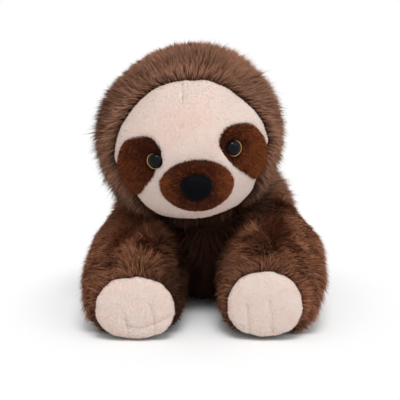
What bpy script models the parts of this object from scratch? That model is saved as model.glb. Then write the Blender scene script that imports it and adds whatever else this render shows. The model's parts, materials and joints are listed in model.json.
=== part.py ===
"""Plush sloth lying on its belly: sewn covers, stuffing, pellet bag, safety eyes and nose.

Metres, +Z up. The toy faces -Y and rests on Z = 0, with the origin under the middle of its belly.
Left and right are the toy's own, so its left side is at +X.
"""
from math import cos, pi, radians, sin, sqrt

import bmesh
import bpy
from mathutils import Matrix, Vector

# Clearances and cloth
GAP = 0.0003
SEAT_CLEARANCE = 0.0022
SWEEP_CLEARANCE = 0.0014
PLUSH_THICKNESS = 0.007
SHORT_PLUSH_THICKNESS = 0.004
FLAT_DEPTH = 0.0005

# Arms: a ball in the shoulder, a thick forearm and a blunt paw with a sole pad
ARM_RADIUS = 0.043
ARM_REACH = 0.128
ARM_PAD_HALF_WIDTH = 0.0300
ARM_PAD_HALF_HEIGHT = 0.0255
CHEST_HALF_GAP = 0.010
LEFT_ARM_REST_ANGLE = radians(-3.3)
RIGHT_ARM_REST_ANGLE = radians(1.0)
ARM_INWARD_LIMIT = radians(4.5)

# Legs: the same build, stretched out behind the body
LEG_RADIUS = 0.036
LEG_REACH = 0.096
LEG_PAD_HALF_WIDTH = 0.0240
LEG_PAD_HALF_HEIGHT = 0.0205
HIP_HALF_GAP = 0.016
LEG_REST_ANGLE = radians(-3.0)
LEG_INWARD_LIMIT = radians(2.0)

# Torso
TORSO_LENGTH = 0.224
TORSO_HALF_WIDTH = 0.080
TORSO_HALF_HEIGHT = 0.0605
PELLET_BAG_LENGTH = 0.070
PELLET_BAG_WIDTH = 0.056
PELLET_BAG_HEIGHT = 0.020

# Head and face
HEAD_RADIUS = 0.0735
HEAD_OFFSET = 0.013
HEAD_PITCH = radians(-9.5)
HEAD_ROLL = radians(-7.5)
MUZZLE_HALF_WIDTH = 0.0285
MUZZLE_HALF_HEIGHT = 0.0225
MUZZLE_HALF_DEPTH = 0.0290
NOSE_HALF_WIDTH = 0.0122
NOSE_HALF_HEIGHT = 0.0100
NOSE_DEPTH = 0.0070
EYE_RIM_RADIUS = 0.0068
EYE_RADIUS = 0.0060
EYE_RIM_THICKNESS = 0.0014
EYE_DEPTH = 0.0050
SHANK_RADIUS = 0.0020
WASHER_RADIUS = 0.0085
WASHER_THICKNESS = 0.0015
SHANK_TAIL = 0.0030
OPENING_RADIUS = 0.011

# Places that follow from the sizes above
SHOULDER_LIFT_SHARE = 1.047
ARM_WAIST_SHARE = 0.97
ARM_LINE_SHARE = 0.919
SHOULDER_PLACE_SHARE = -0.330
HIP_PLACE_SHARE = 0.196
HIP_LIFT_SHARE = 1.02

SHOULDER_X = ARM_RADIUS + CHEST_HALF_GAP
SHOULDER_Y = TORSO_LENGTH * SHOULDER_PLACE_SHARE
SHOULDER_Z = ARM_RADIUS * SHOULDER_LIFT_SHARE
HIP_X = LEG_RADIUS + HIP_HALF_GAP
HIP_Y = TORSO_LENGTH * HIP_PLACE_SHARE
HIP_Z = LEG_RADIUS * HIP_LIFT_SHARE

# The head sits as low as the arm under it allows, and ahead of the shoulder ball
HEAD_TO_ARM = SHOULDER_X - HEAD_OFFSET
HEAD_X = -HEAD_OFFSET
HEAD_Z = ARM_RADIUS * ARM_LINE_SHARE + sqrt(
    (HEAD_RADIUS + ARM_RADIUS * ARM_WAIST_SHARE + SEAT_CLEARANCE) ** 2 - HEAD_TO_ARM ** 2)
HEAD_Y = SHOULDER_Y - sqrt(
    (HEAD_RADIUS + ARM_RADIUS + SEAT_CLEARANCE) ** 2 - HEAD_TO_ARM ** 2 - (HEAD_Z - SHOULDER_Z) ** 2)
HEAD_CENTRE = Vector((HEAD_X, HEAD_Y, HEAD_Z))
HEAD_FRAME = Matrix.Translation(HEAD_CENTRE) @ Matrix.Rotation(HEAD_PITCH, 4, "X") @ Matrix.Rotation(
    HEAD_ROLL, 4, "Y")

# Sections of a form: place along its length, half width, half height and height of its centre,
# as shares of the form's own reach, width and height
ARM_SECTION_SHARES = (
    (0.16, 0.975, 0.930, 0.955),
    (0.36, 0.970, 0.930, 0.919),
    (0.57, 0.960, 0.905, 0.893),
    (0.74, 0.930, 0.865, 0.853),
    (0.86, 0.870, 0.800, 0.788),
    (0.935, 0.780, 0.710, 0.735),
    (0.977, 0.650, 0.590, 0.705),
    (0.994, 0.450, 0.410, 0.690),
)
ARM_TIP_HEIGHT_SHARE = 0.686
LEG_SECTION_SHARES = (
    (0.20, 0.975, 0.950, 0.980),
    (0.45, 0.930, 0.900, 0.888),
    (0.66, 0.890, 0.850, 0.838),
    (0.81, 0.820, 0.770, 0.765),
    (0.92, 0.710, 0.660, 0.705),
    (0.972, 0.570, 0.530, 0.680),
    (0.993, 0.370, 0.350, 0.665),
)
LEG_TIP_HEIGHT_SHARE = 0.660
TORSO_SECTION_SHARES = (
    (-0.585, 0.16, 0.20, 1.10),
    (-0.545, 0.38, 0.44, 1.08),
    (-0.465, 0.63, 0.72, 1.03),
    (-0.370, 0.81, 0.89, 1.00),
    (-0.255, 0.93, 0.98, 0.972),
    (-0.115, 1.00, 1.00, 0.992),
    (0.020, 1.00, 0.985, 0.977),
    (0.155, 0.94, 0.910, 0.902),
    (0.265, 0.80, 0.770, 0.762),
    (0.340, 0.60, 0.580, 0.650),
    (0.385, 0.34, 0.320, 0.600),
)
TORSO_FRONT_SHARE = -0.598
TORSO_REAR_SHARE = 0.402
TORSO_TIP_HEIGHT_SHARES = (1.10, 0.59)
CAVITY_FRONT_SHARE = -0.230
CAVITY_SECTION_SHARES = ((-0.185, 0.72, 0.80, 0.98),) + TORSO_SECTION_SHARES[5:]

# Face outlines in the head's own frame, seen along its -Y, as shares of the head's radius
MASK_HALF_SHARES = (
    (0.000, 0.569), (0.272, 0.535), (0.442, 0.447), (0.565, 0.345), (0.708, 0.188), (0.806, 0.008),
    (0.846, -0.160), (0.818, -0.250), (0.745, -0.385), (0.690, -0.500), (0.655, -0.600),
    (0.592, -0.715), (0.428, -0.850), (0.224, -0.914), (0.000, -0.936),
)
PATCH_SHARES = (
    (0.556, 0.026), (0.435, 0.018), (0.360, -0.030), (0.304, -0.140), (0.337, -0.262),
    (0.405, -0.345), (0.508, -0.445), (0.605, -0.560), (0.670, -0.556), (0.752, -0.403),
    (0.790, -0.265), (0.760, -0.130), (0.676, -0.010),
)
EYE_PLACE_SHARES = {1: (0.437, -0.201), -1: (0.379, -0.227)}
MUZZLE_PLACE_SHARES = (0.0, -0.735, -0.515)
MUZZLE_PITCH = radians(8.0)
NOSE_DROP_SHARE = -0.04
FACE_PRISM_SHARES = (-0.22, -1.20)
NECK_DIRECTION = Vector((0.10, 0.80, -0.59)).normalized()
NECK_SPAN_SHARES = (0.90, 1.42, 0.70)
OPENING_ACROSS_SHARE = -0.8
OPENING_ALONG_SHARE = 0.6
NOSE_PROFILE_SHARES = (
    (0.0, -0.75), (0.94, -0.75), (1.00, -0.10), (0.97, 0.28), (0.86, 0.62), (0.66, 0.86), (0.36, 0.97),
    (0.0, 1.0),
)
NOSE_WASHER_SHARE = 0.65
RIM_EDGE_SHARE = 0.55
PAD_DEPTH_SHARE = 2.0
OVERRUN_SHARE = 1.25
DOME_STEPS = 4

LIMB_SEGMENTS = 20
TORSO_SEGMENTS = 24
INNER_SEGMENTS = 12
BALL_RINGS = 4
SMALL_SEGMENTS = 14
HEAD_DETAIL = 4
INNER_DETAIL = 3
OUTLINE_STEPS = 2
SMOOTH_ANGLE = radians(40.0)

MATERIALS = {
    "long_plush": ((0.165, 0.085, 0.055, 1.0), 0.95, 0.0),
    "pale_plush": ((0.80, 0.66, 0.58, 1.0), 0.95, 0.0),
    "rust_plush": ((0.17, 0.050, 0.018, 1.0), 0.90, 0.0),
    "stuffing": ((0.86, 0.86, 0.84, 1.0), 0.95, 0.0),
    "bag_cloth": ((0.55, 0.53, 0.50, 1.0), 0.90, 0.0),
    "black_flock": ((0.006, 0.007, 0.010, 1.0), 0.75, 0.0),
    "black_gloss": ((0.004, 0.004, 0.006, 1.0), 0.08, 0.0),
    "gold": ((0.72, 0.48, 0.18, 1.0), 0.25, 1.0),
    "clear_white_plastic": ((0.75, 0.75, 0.72, 1.0), 0.40, 0.0),
}


def material(name):
    """Return the named material, made once."""
    found = bpy.data.materials.get(name)
    if found:
        return found
    colour, roughness, metallic = MATERIALS[name]
    made = bpy.data.materials.new(name)
    made.use_nodes = True
    shader = made.node_tree.nodes["Principled BSDF"]
    shader.inputs["Base Color"].default_value = colour
    shader.inputs["Roughness"].default_value = roughness
    shader.inputs["Metallic"].default_value = metallic
    made.diffuse_color = colour
    return made


def solid(name, bm):
    """Turn an edit mesh into an object with outward triangles."""
    bmesh.ops.recalc_face_normals(bm, faces=bm.faces)
    bmesh.ops.triangulate(bm, faces=bm.faces)
    mesh = bpy.data.meshes.new(name)
    bm.to_mesh(mesh)
    bm.free()
    made = bpy.data.objects.new(name, mesh)
    bpy.context.scene.collection.objects.link(made)
    return made


def combine(body, tool, operation):
    """Apply one Boolean to the body and remove the tool."""
    step = body.modifiers.new(operation, "BOOLEAN")
    step.operation = operation
    step.solver = "EXACT"
    step.object = tool
    view = bpy.context.evaluated_depsgraph_get()
    result = bpy.data.meshes.new_from_object(body.evaluated_get(view))
    body.modifiers.clear()
    body.data = result
    bpy.data.objects.remove(tool)
    return body


def cut(body, *tools):
    """Cut the tools out of the body, one after another."""
    for tool in tools:
        combine(body, tool, "DIFFERENCE")
    return body


def keep(body, tool):
    """Keep what the body and the tool share."""
    return combine(body, tool, "INTERSECT")


def ball(centre, radius, detail, outside=False):
    """Geodesic ball. With outside, its faces and not its corners lie at the radius."""
    bm = bmesh.new()
    bmesh.ops.create_icosphere(bm, subdivisions=detail, radius=1.0)
    bm.normal_update()
    scale = radius
    if outside:
        scale = radius / min(face.normal.dot(face.verts[0].co) for face in bm.faces)
    bmesh.ops.transform(bm, matrix=Matrix.Translation(centre) @ Matrix.Scale(scale, 4), verts=bm.verts)
    return solid("ball", bm)


def ellipsoid(frame, half_sizes, segments, outside=False):
    """Ellipsoid in the given frame. With outside, its faces and not its corners lie at the half sizes."""
    bm = bmesh.new()
    bmesh.ops.create_uvsphere(bm, u_segments=segments, v_segments=segments * 2 // 3, radius=1.0)
    bm.normal_update()
    scale = 1.0
    if outside:
        scale = 1.0 / min(face.normal.dot(face.verts[0].co) for face in bm.faces)
    stretch = Matrix.Diagonal((*half_sizes, 1.0)) @ Matrix.Scale(scale, 4)
    bmesh.ops.transform(bm, matrix=frame @ stretch, verts=bm.verts)
    return solid("ellipsoid", bm)


def turned(frame, profile, segments, ring=False):
    """Turn a profile of (radius, height) pairs around the frame's Z, into a ring where it has a bore."""
    bm = bmesh.new()
    rings = []
    for radius, height in profile:
        if radius == 0.0:
            rings.append([bm.verts.new((0.0, 0.0, height))])
            continue
        angles = [2 * pi * index / segments for index in range(segments)]
        rings.append([bm.verts.new((radius * cos(a), radius * sin(a), height)) for a in angles])
    if ring:
        rings.append(rings[0])
    skin_rings(bm, rings)
    bmesh.ops.transform(bm, matrix=frame, verts=bm.verts)
    return solid("turned", bm)


def skin_rings(bm, rings):
    """Join each ring of vertices to the next. A ring of one vertex is a tip."""
    for lower, upper in zip(rings, rings[1:]):
        count = max(len(lower), len(upper))
        for index in range(count):
            after = (index + 1) % count
            if len(lower) == 1:
                bm.faces.new((lower[0], upper[after], upper[index]))
            elif len(upper) == 1:
                bm.faces.new((lower[index], lower[after], upper[0]))
            else:
                bm.faces.new((lower[index], lower[after], upper[after], upper[index]))


def block(low, high):
    """Axis-aligned block between two corners."""
    bm = bmesh.new()
    bmesh.ops.create_cube(bm, size=1.0)
    size = Vector(high) - Vector(low)
    middle = (Vector(high) + Vector(low)) / 2
    bmesh.ops.transform(bm, matrix=Matrix.Translation(middle) @ Matrix.Diagonal((*size, 1.0)), verts=bm.verts)
    return solid("block", bm)


def swelling(frame, stations, segments, shifts=None):
    """Closed form through oval sections along the frame's -Y: (place, half width, half height, height)."""
    bm = bmesh.new()
    rings = []
    shifts = shifts or [0.0] * len(stations)
    for (place, half_width, half_height, height), shift in zip(stations, shifts):
        if half_width == 0.0:
            rings.append([bm.verts.new((shift, -place, height))])
            continue
        angles = [2 * pi * index / segments for index in range(segments)]
        rings.append([bm.verts.new((
            shift + half_width * cos(a), -place, height + half_height * sin(a))) for a in angles])
    skin_rings(bm, rings)
    bmesh.ops.transform(bm, matrix=frame, verts=bm.verts)
    return solid("swelling", bm)


def closed_curve(points, steps):
    """Smooth closed outline through the points, with the given steps between each two."""
    curve = []
    count = len(points)
    for index in range(count):
        before, start, end, after = (Vector(points[(index + k) % count]) for k in (-1, 0, 1, 2))
        for step in range(steps):
            t = step / steps
            bend = (2 * before - 5 * start + 4 * end - after) * t * t
            twist = (3 * start - before - 3 * end + after) * t * t * t
            curve.append((2 * start + (end - before) * t + bend + twist) / 2)
    return curve


def grown_outline(points, distance):
    """Move an anticlockwise outline outwards."""
    grown = []
    count = len(points)
    for index, point in enumerate(points):
        along = (points[(index + 1) % count] - points[index - 1]).normalized()
        grown.append(point + Vector((along.y, -along.x)) * distance)
    return grown


def face_prism(outline, grow):
    """Prism through the front of the head, along the head frame's Y."""
    outline = grown_outline(outline, grow)
    bm = bmesh.new()
    near, far = (HEAD_RADIUS * share for share in FACE_PRISM_SHARES)
    rings = [[bm.verts.new((p.x, depth, p.y)) for p in outline] for depth in (near, far)]
    skin_rings(bm, rings)
    for ring in rings:
        bm.faces.new(ring)
    bmesh.ops.transform(bm, matrix=HEAD_FRAME, verts=bm.verts)
    return solid("prism", bm)


def mask_outline():
    """The pale face, anticlockwise in the head frame's XZ."""
    right = [Vector(share) * HEAD_RADIUS for share in MASK_HALF_SHARES]
    left = [Vector((-point.x, point.y)) for point in right]
    return closed_curve(left + right[-2:0:-1], OUTLINE_STEPS)


def patch_outline(side):
    """One eye patch, anticlockwise in the head frame's XZ."""
    points = [Vector((share[0] * side, share[1])) * HEAD_RADIUS for share in PATCH_SHARES]
    if side < 0:
        points.reverse()
    return closed_curve(points, OUTLINE_STEPS)


def finish(piece, name, colour, pivot):
    """Name and colour a finished piece, and hang it from the empty on its joint."""
    piece.name = name
    piece.data.name = name
    piece.data.materials.clear()
    piece.data.materials.append(material(colour))
    piece.data.shade_smooth()
    piece.data.set_sharp_from_angle(angle=SMOOTH_ANGLE)
    piece.data.transform(Matrix.Translation(-pivot.location))
    piece.parent = pivot


def pivot_at(name, place):
    """Empty on a joint's axis."""
    pivot = bpy.data.objects.new(name, None)
    pivot.location = place
    bpy.context.scene.collection.objects.link(pivot)
    return pivot


def rod(frame, radius, low, high, segments=SMALL_SEGMENTS):
    """Cylinder along the frame's Z."""
    return turned(frame, ((0.0, low), (radius, low), (radius, high), (0.0, high)), segments)


def aimed(place, direction):
    """Frame at a place with its Z along the direction."""
    return Matrix.Translation(place) @ direction.to_track_quat("Z", "Y").to_matrix().to_4x4()


def floor_block():
    """What lies below the floor."""
    reach = TORSO_LENGTH + ARM_REACH + LEG_REACH
    return block((-reach, -reach, -TORSO_HALF_HEIGHT), (reach, reach, 0.0))


def limb(size, inset, segments):
    """Arm or leg form at rest, drawn in all round by the inset."""
    ball_radius = size["radius"] - inset
    stations = []
    for index in range(BALL_RINGS + 1):
        turn = pi / 2 * index / BALL_RINGS
        across = ball_radius * sin(turn)
        stations.append((-ball_radius * cos(turn), across, across, size["joint"].z))
    for place, width, height, middle in size["sections"]:
        stations.append((
            place * (size["reach"] - inset),
            width * size["radius"] - inset,
            height * size["radius"] - inset,
            middle * size["radius"] - FLAT_DEPTH))
    stations.append((size["reach"] - inset, 0.0, 0.0, size["tip"] * size["radius"]))
    return swelling(limb_frame(size), stations, segments)


def limb_frame(size):
    """Frame on the joint's axis at the floor, with the resting limb along its -Y."""
    foot = Vector((size["joint"].x, size["joint"].y, 0.0))
    return Matrix.Translation(foot) @ Matrix.Rotation(size["rest"], 4, "Z")


def swept_limb(size, inset):
    """Room that a limb needs ahead of its ball, from rest to its inward limit."""
    stride = sin(size["closed"] - size["rest"]) / 2
    grow = SWEEP_CLEARANCE + inset
    core = size["radius"] + inset
    stations = [(0.0, 0.0, 0.0, size["joint"].z), (0.0, core, core, size["joint"].z)]
    shifts = [0.0, 0.0]
    for place, width, height, middle in size["sections"]:
        along = place * (size["reach"] + grow)
        stations.append((
            along,
            width * size["radius"] + grow + abs(along * stride),
            height * size["radius"] + grow,
            middle * size["radius"] - FLAT_DEPTH))
        shifts.append(along * stride)
    stations.append((size["reach"] + grow, 0.0, 0.0, size["tip"] * size["radius"]))
    shifts.append(size["reach"] * stride)
    return swelling(limb_frame(size), stations, LIMB_SEGMENTS, shifts)


def limb_sizes():
    """The four limbs: where they turn, how they rest and how far they close."""
    sizes = []
    for side, name, rest in ((1, "left_arm", LEFT_ARM_REST_ANGLE), (-1, "right_arm", RIGHT_ARM_REST_ANGLE)):
        sizes.append({
            "name": name,
            "side": side,
            "radius": ARM_RADIUS,
            "reach": ARM_REACH,
            "joint": Vector((side * SHOULDER_X, SHOULDER_Y, SHOULDER_Z)),
            "sections": ARM_SECTION_SHARES,
            "tip": ARM_TIP_HEIGHT_SHARE,
            "pad": (ARM_PAD_HALF_WIDTH, ARM_PAD_HALF_HEIGHT),
            "rest": side * rest,
            "closed": -side * ARM_INWARD_LIMIT,
            "opening": Vector((side * OPENING_ACROSS_SHARE, OPENING_ALONG_SHARE, 0.0)),
        })
    for side, name in ((1, "left_leg"), (-1, "right_leg")):
        sizes.append({
            "name": name,
            "side": side,
            "radius": LEG_RADIUS,
            "reach": LEG_REACH,
            "joint": Vector((side * HIP_X, HIP_Y, HIP_Z)),
            "sections": LEG_SECTION_SHARES,
            "tip": LEG_TIP_HEIGHT_SHARE,
            "pad": (LEG_PAD_HALF_WIDTH, LEG_PAD_HALF_HEIGHT),
            "rest": side * (pi - LEG_REST_ANGLE),
            "closed": side * (pi - LEG_REST_ANGLE + LEG_INWARD_LIMIT),
            "opening": Vector((side * OPENING_ACROSS_SHARE, -OPENING_ALONG_SHARE, 0.0)),
        })
    return sizes


def make_limb(size):
    """Cover, stuffing and sole pad of one arm or leg."""
    shell = cut(limb(size, 0.0, LIMB_SEGMENTS), limb(size, PLUSH_THICKNESS, INNER_SEGMENTS))
    opening = aimed(size["joint"], size["opening"])
    cut(shell, rod(opening, OPENING_RADIUS, 0.0, size["radius"] * OVERRUN_SHARE))
    cut(shell, floor_block())
    pad = shell.copy()
    pad.data = shell.data.copy()
    bpy.context.scene.collection.objects.link(pad)
    cut(shell, pad_prism(size, GAP))
    keep(pad, pad_prism(size, 0.0))
    filling = limb(size, PLUSH_THICKNESS + GAP, INNER_SEGMENTS)
    pivot = pivot_at(size["name"] + "_joint", size["joint"])
    finish(shell, size["name"] + "_cover", "long_plush", pivot)
    finish(filling, size["name"] + "_filling", "stuffing", pivot)
    finish(pad, size["name"] + "_pad", "pale_plush", pivot)


def pad_prism(size, grow):
    """Oval column through the front of a paw."""
    half_width, half_height = (half + grow for half in size["pad"])
    low = size["reach"] - PLUSH_THICKNESS * PAD_DEPTH_SHARE - grow
    high = size["reach"] * OVERRUN_SHARE
    height = size["tip"] * size["radius"]
    stations = (
        (low, 0.0, 0.0, height), (low, half_width, half_height, height),
        (high, half_width, half_height, height), (high, 0.0, 0.0, height))
    return swelling(limb_frame(size), stations, LIMB_SEGMENTS)


def torso_form(inset, segments, hollow=False):
    """Torso before anything is cut from it, or its shorter inner form behind the sockets."""
    middle = (TORSO_FRONT_SHARE + TORSO_REAR_SHARE) / 2
    length = TORSO_LENGTH - 2 * inset
    front = CAVITY_FRONT_SHARE if hollow else TORSO_FRONT_SHARE
    sections = CAVITY_SECTION_SHARES if hollow else TORSO_SECTION_SHARES
    stations = []
    for place, width, height, centre in (
            (front, 0.0, 0.0, TORSO_TIP_HEIGHT_SHARES[0]), *sections,
            (TORSO_REAR_SHARE, 0.0, 0.0, TORSO_TIP_HEIGHT_SHARES[1])):
        along = middle * TORSO_LENGTH + (place - middle) * length
        half_width = max(width * TORSO_HALF_WIDTH - inset, 0.0)
        half_height = max(height * TORSO_HALF_HEIGHT - inset, 0.0)
        stations.append((-along, half_width, half_height, centre * TORSO_HALF_HEIGHT))
    return swelling(Matrix.Identity(4), stations, segments)


def torso_sockets(sizes, inset):
    """Balls and swept limbs that the torso leaves room for, with the inset of cloth around them."""
    tools = [ball(HEAD_CENTRE, HEAD_RADIUS + GAP + inset, INNER_DETAIL, outside=True)]
    for size in sizes:
        tools.append(ball(size["joint"], size["radius"] + GAP + inset, INNER_DETAIL, outside=True))
        tools.append(swept_limb(size, inset))
    return tools


def make_torso(sizes):
    """Torso cover, its stuffing and the bag of pellets in its belly."""
    cavity = torso_form(PLUSH_THICKNESS, INNER_SEGMENTS, hollow=True)
    cut(cavity, *torso_sockets(sizes, PLUSH_THICKNESS))
    cover = cut(torso_form(0.0, TORSO_SEGMENTS), *torso_sockets(sizes, 0.0))
    cut(cover, cavity)
    cut(cover, rod(aimed(HEAD_CENTRE, NECK_DIRECTION), OPENING_RADIUS, HEAD_RADIUS * NECK_SPAN_SHARES[0],
                   HEAD_RADIUS * NECK_SPAN_SHARES[1]))
    cut(cover, floor_block())
    inset = PLUSH_THICKNESS + GAP
    filling = torso_form(inset, INNER_SEGMENTS, hollow=True)
    cut(filling, *torso_sockets(sizes, inset))
    cut(filling, pellet_bag_form(GAP))
    bag = keep(pellet_bag_form(0.0), torso_form(inset, INNER_SEGMENTS, hollow=True))
    cut(bag, *torso_sockets(sizes, inset))
    pivot = pivot_at("torso_middle", Vector((0.0, 0.0, 0.0)))
    finish(cover, "torso_cover", "long_plush", pivot)
    finish(filling, "torso_filling", "stuffing", pivot)
    finish(bag, "pellet_bag", "bag_cloth", pivot)


def pellet_bag_form(grow):
    """Flat bag on the inside of the belly."""
    half_sizes = (PELLET_BAG_WIDTH / 2 + grow, PELLET_BAG_LENGTH / 2 + grow, PELLET_BAG_HEIGHT + grow)
    return ellipsoid(Matrix.Translation((0.0, 0.0, PLUSH_THICKNESS)), half_sizes, SMALL_SEGMENTS)


def head_shell():
    """Thick skin of the whole head, before it is cut into its panels."""
    inner = ball(HEAD_CENTRE, HEAD_RADIUS - PLUSH_THICKNESS, INNER_DETAIL, outside=True)
    return cut(ball(HEAD_CENTRE, HEAD_RADIUS, HEAD_DETAIL), inner)


def eye_frame(side):
    """Frame on the head's surface at an eye, with Z outwards."""
    across, up = EYE_PLACE_SHARES[side][0] * side, EYE_PLACE_SHARES[side][1]
    direction = Vector((across, -sqrt(1 - across ** 2 - up ** 2), up))
    return HEAD_FRAME @ aimed(direction * HEAD_RADIUS, direction)


def muzzle_frame():
    """Frame in the middle of the muzzle, with the nose along its -Y."""
    place = Vector(MUZZLE_PLACE_SHARES) * HEAD_RADIUS
    return HEAD_FRAME @ Matrix.Translation(place) @ Matrix.Rotation(MUZZLE_PITCH, 4, "X")


def muzzle_form(inset, segments, outside=False):
    """Muzzle drawn in all round by the inset."""
    half_sizes = [half - inset for half in (MUZZLE_HALF_WIDTH, MUZZLE_HALF_DEPTH, MUZZLE_HALF_HEIGHT)]
    return ellipsoid(muzzle_frame(), half_sizes, segments, outside)


def washer(frame, radius, top):
    """Locking washer on a shank, its upper face at the top height."""
    bore = SHANK_RADIUS + GAP
    low = top - WASHER_THICKNESS
    return turned(frame, ((bore, low), (radius, low), (radius, top), (bore, top)), SMALL_SEGMENTS, ring=True)


def make_eye(side, name, pivot):
    """Glossy eye on its shank, the gold rim under it and the washer that locks it. Returns the cutters."""
    frame = eye_frame(side)
    bore = SHANK_RADIUS + GAP
    rim = turned(frame, (
        (bore, GAP), (EYE_RIM_RADIUS, GAP), (EYE_RIM_RADIUS, EYE_RIM_THICKNESS * RIM_EDGE_SHARE),
        (EYE_RADIUS, EYE_RIM_THICKNESS), (bore, EYE_RIM_THICKNESS)), SMALL_SEGMENTS, ring=True)
    under = HEAD_RADIUS - PLUSH_THICKNESS
    top = sqrt(under ** 2 - WASHER_RADIUS ** 2) - GAP - HEAD_RADIUS
    tail = top - WASHER_THICKNESS - SHANK_TAIL
    base = EYE_RIM_THICKNESS + GAP
    profile = [(0.0, tail), (SHANK_RADIUS, tail), (SHANK_RADIUS, base)]
    for step in range(DOME_STEPS):
        turn = pi / 2 * step / DOME_STEPS
        profile.append((EYE_RADIUS * cos(turn), base + EYE_DEPTH * sin(turn)))
    profile.append((0.0, base + EYE_DEPTH))
    finish(turned(frame, profile, SMALL_SEGMENTS), name, "black_gloss", pivot)
    finish(rim, name + "_rim", "gold", pivot)
    finish(washer(frame, WASHER_RADIUS, top), name + "_washer", "clear_white_plastic", pivot)
    hole = rod(frame, bore, tail, EYE_DEPTH)
    pocket = rod(frame, WASHER_RADIUS + GAP, tail - GAP, EYE_DEPTH)
    return hole, pocket


def make_nose(pivot):
    """Oval nose on its shank, with its washer. Returns the cutters."""
    drop = MUZZLE_HALF_HEIGHT * NOSE_DROP_SHARE
    tip = muzzle_frame() @ Matrix.Translation((0.0, -MUZZLE_HALF_DEPTH, -drop))
    frame = tip @ Matrix.Rotation(pi / 2, 4, "X")
    oval = frame @ Matrix.Diagonal((1.0, NOSE_HALF_HEIGHT / NOSE_HALF_WIDTH, 1.0, 1.0))
    profile = [(NOSE_HALF_WIDTH * across, NOSE_DEPTH * up) for across, up in NOSE_PROFILE_SHARES]
    nose = cut(turned(oval, profile, LIMB_SEGMENTS), muzzle_form(-GAP, LIMB_SEGMENTS, outside=True))
    inner_depth = MUZZLE_HALF_DEPTH - SHORT_PLUSH_THICKNESS
    inner_height = MUZZLE_HALF_HEIGHT - SHORT_PLUSH_THICKNESS
    radius = NOSE_HALF_HEIGHT * NOSE_WASHER_SHARE
    edge = inner_depth * sqrt(1 - ((radius + abs(drop)) / inner_height) ** 2)
    top = edge - MUZZLE_HALF_DEPTH - GAP
    tail = top - WASHER_THICKNESS - SHANK_TAIL
    combine(nose, rod(frame, SHANK_RADIUS, tail, NOSE_DEPTH / 2), "UNION")
    finish(nose, "nose", "black_flock", pivot)
    finish(washer(frame, radius, top), "nose_washer", "clear_white_plastic", pivot)
    hole = rod(frame, SHANK_RADIUS + GAP, tail, NOSE_DEPTH)
    pocket = rod(frame, radius + GAP, tail - GAP, NOSE_DEPTH)
    return hole, pocket


def make_head():
    """Head cover, face panel, eye patches, muzzle, eyes, nose and stuffing."""
    pivot = pivot_at("head_joint", HEAD_CENTRE)
    mask = mask_outline()
    patches = {side: patch_outline(side) for side in (1, -1)}
    cover = cut(head_shell(), face_prism(mask, GAP))
    panel = keep(head_shell(), face_prism(mask, 0.0))
    filling = ball(HEAD_CENTRE, HEAD_RADIUS - PLUSH_THICKNESS - GAP, INNER_DETAIL)
    for side, name in ((1, "left_eye"), (-1, "right_eye")):
        cut(cover, face_prism(patches[side], GAP))
        cut(panel, face_prism(patches[side], GAP))
        hole, pocket = make_eye(side, name, pivot)
        patch = cut(keep(head_shell(), face_prism(patches[side], 0.0)), hole)
        finish(patch, name + "_patch", "rust_plush", pivot)
        cut(filling, pocket)
    cut(cover, rod(aimed(HEAD_CENTRE, NECK_DIRECTION), OPENING_RADIUS, HEAD_RADIUS * NECK_SPAN_SHARES[2],
                   HEAD_RADIUS * OVERRUN_SHARE))
    cut(panel, muzzle_form(SHORT_PLUSH_THICKNESS, INNER_SEGMENTS, outside=True))
    hole, pocket = make_nose(pivot)
    muzzle = muzzle_form(0.0, LIMB_SEGMENTS)
    cut(muzzle, muzzle_form(SHORT_PLUSH_THICKNESS, INNER_SEGMENTS, outside=True))
    cut(muzzle, ball(HEAD_CENTRE, HEAD_RADIUS + GAP, HEAD_DETAIL, outside=True), hole)
    stuffing = muzzle_form(SHORT_PLUSH_THICKNESS + GAP, INNER_SEGMENTS)
    cut(stuffing, ball(HEAD_CENTRE, HEAD_RADIUS - PLUSH_THICKNESS, INNER_DETAIL, outside=True), pocket)
    finish(cover, "head_cover", "long_plush", pivot)
    finish(panel, "face_panel", "pale_plush", pivot)
    finish(filling, "head_filling", "stuffing", pivot)
    finish(muzzle, "muzzle_cover", "rust_plush", pivot)
    finish(stuffing, "muzzle_filling", "stuffing", pivot)


def main():
    """Clear the scene and build the toy."""
    for old in list(bpy.data.objects):
        bpy.data.objects.remove(old)
    sizes = limb_sizes()
    make_torso(sizes)
    make_head()
    for size in sizes:
        make_limb(size)


main()
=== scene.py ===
import json
from math import cos, pi, radians, sin, sqrt

import bmesh
import bpy
import numpy as np
from bpy.props import FloatProperty, FloatVectorProperty, IntProperty, PointerProperty
from bpy.types import Operator, Panel, PropertyGroup
from mathutils import Matrix, Vector
from mathutils.bvhtree import BVHTree
from mathutils.geometry import delaunay_2d_cdt

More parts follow.
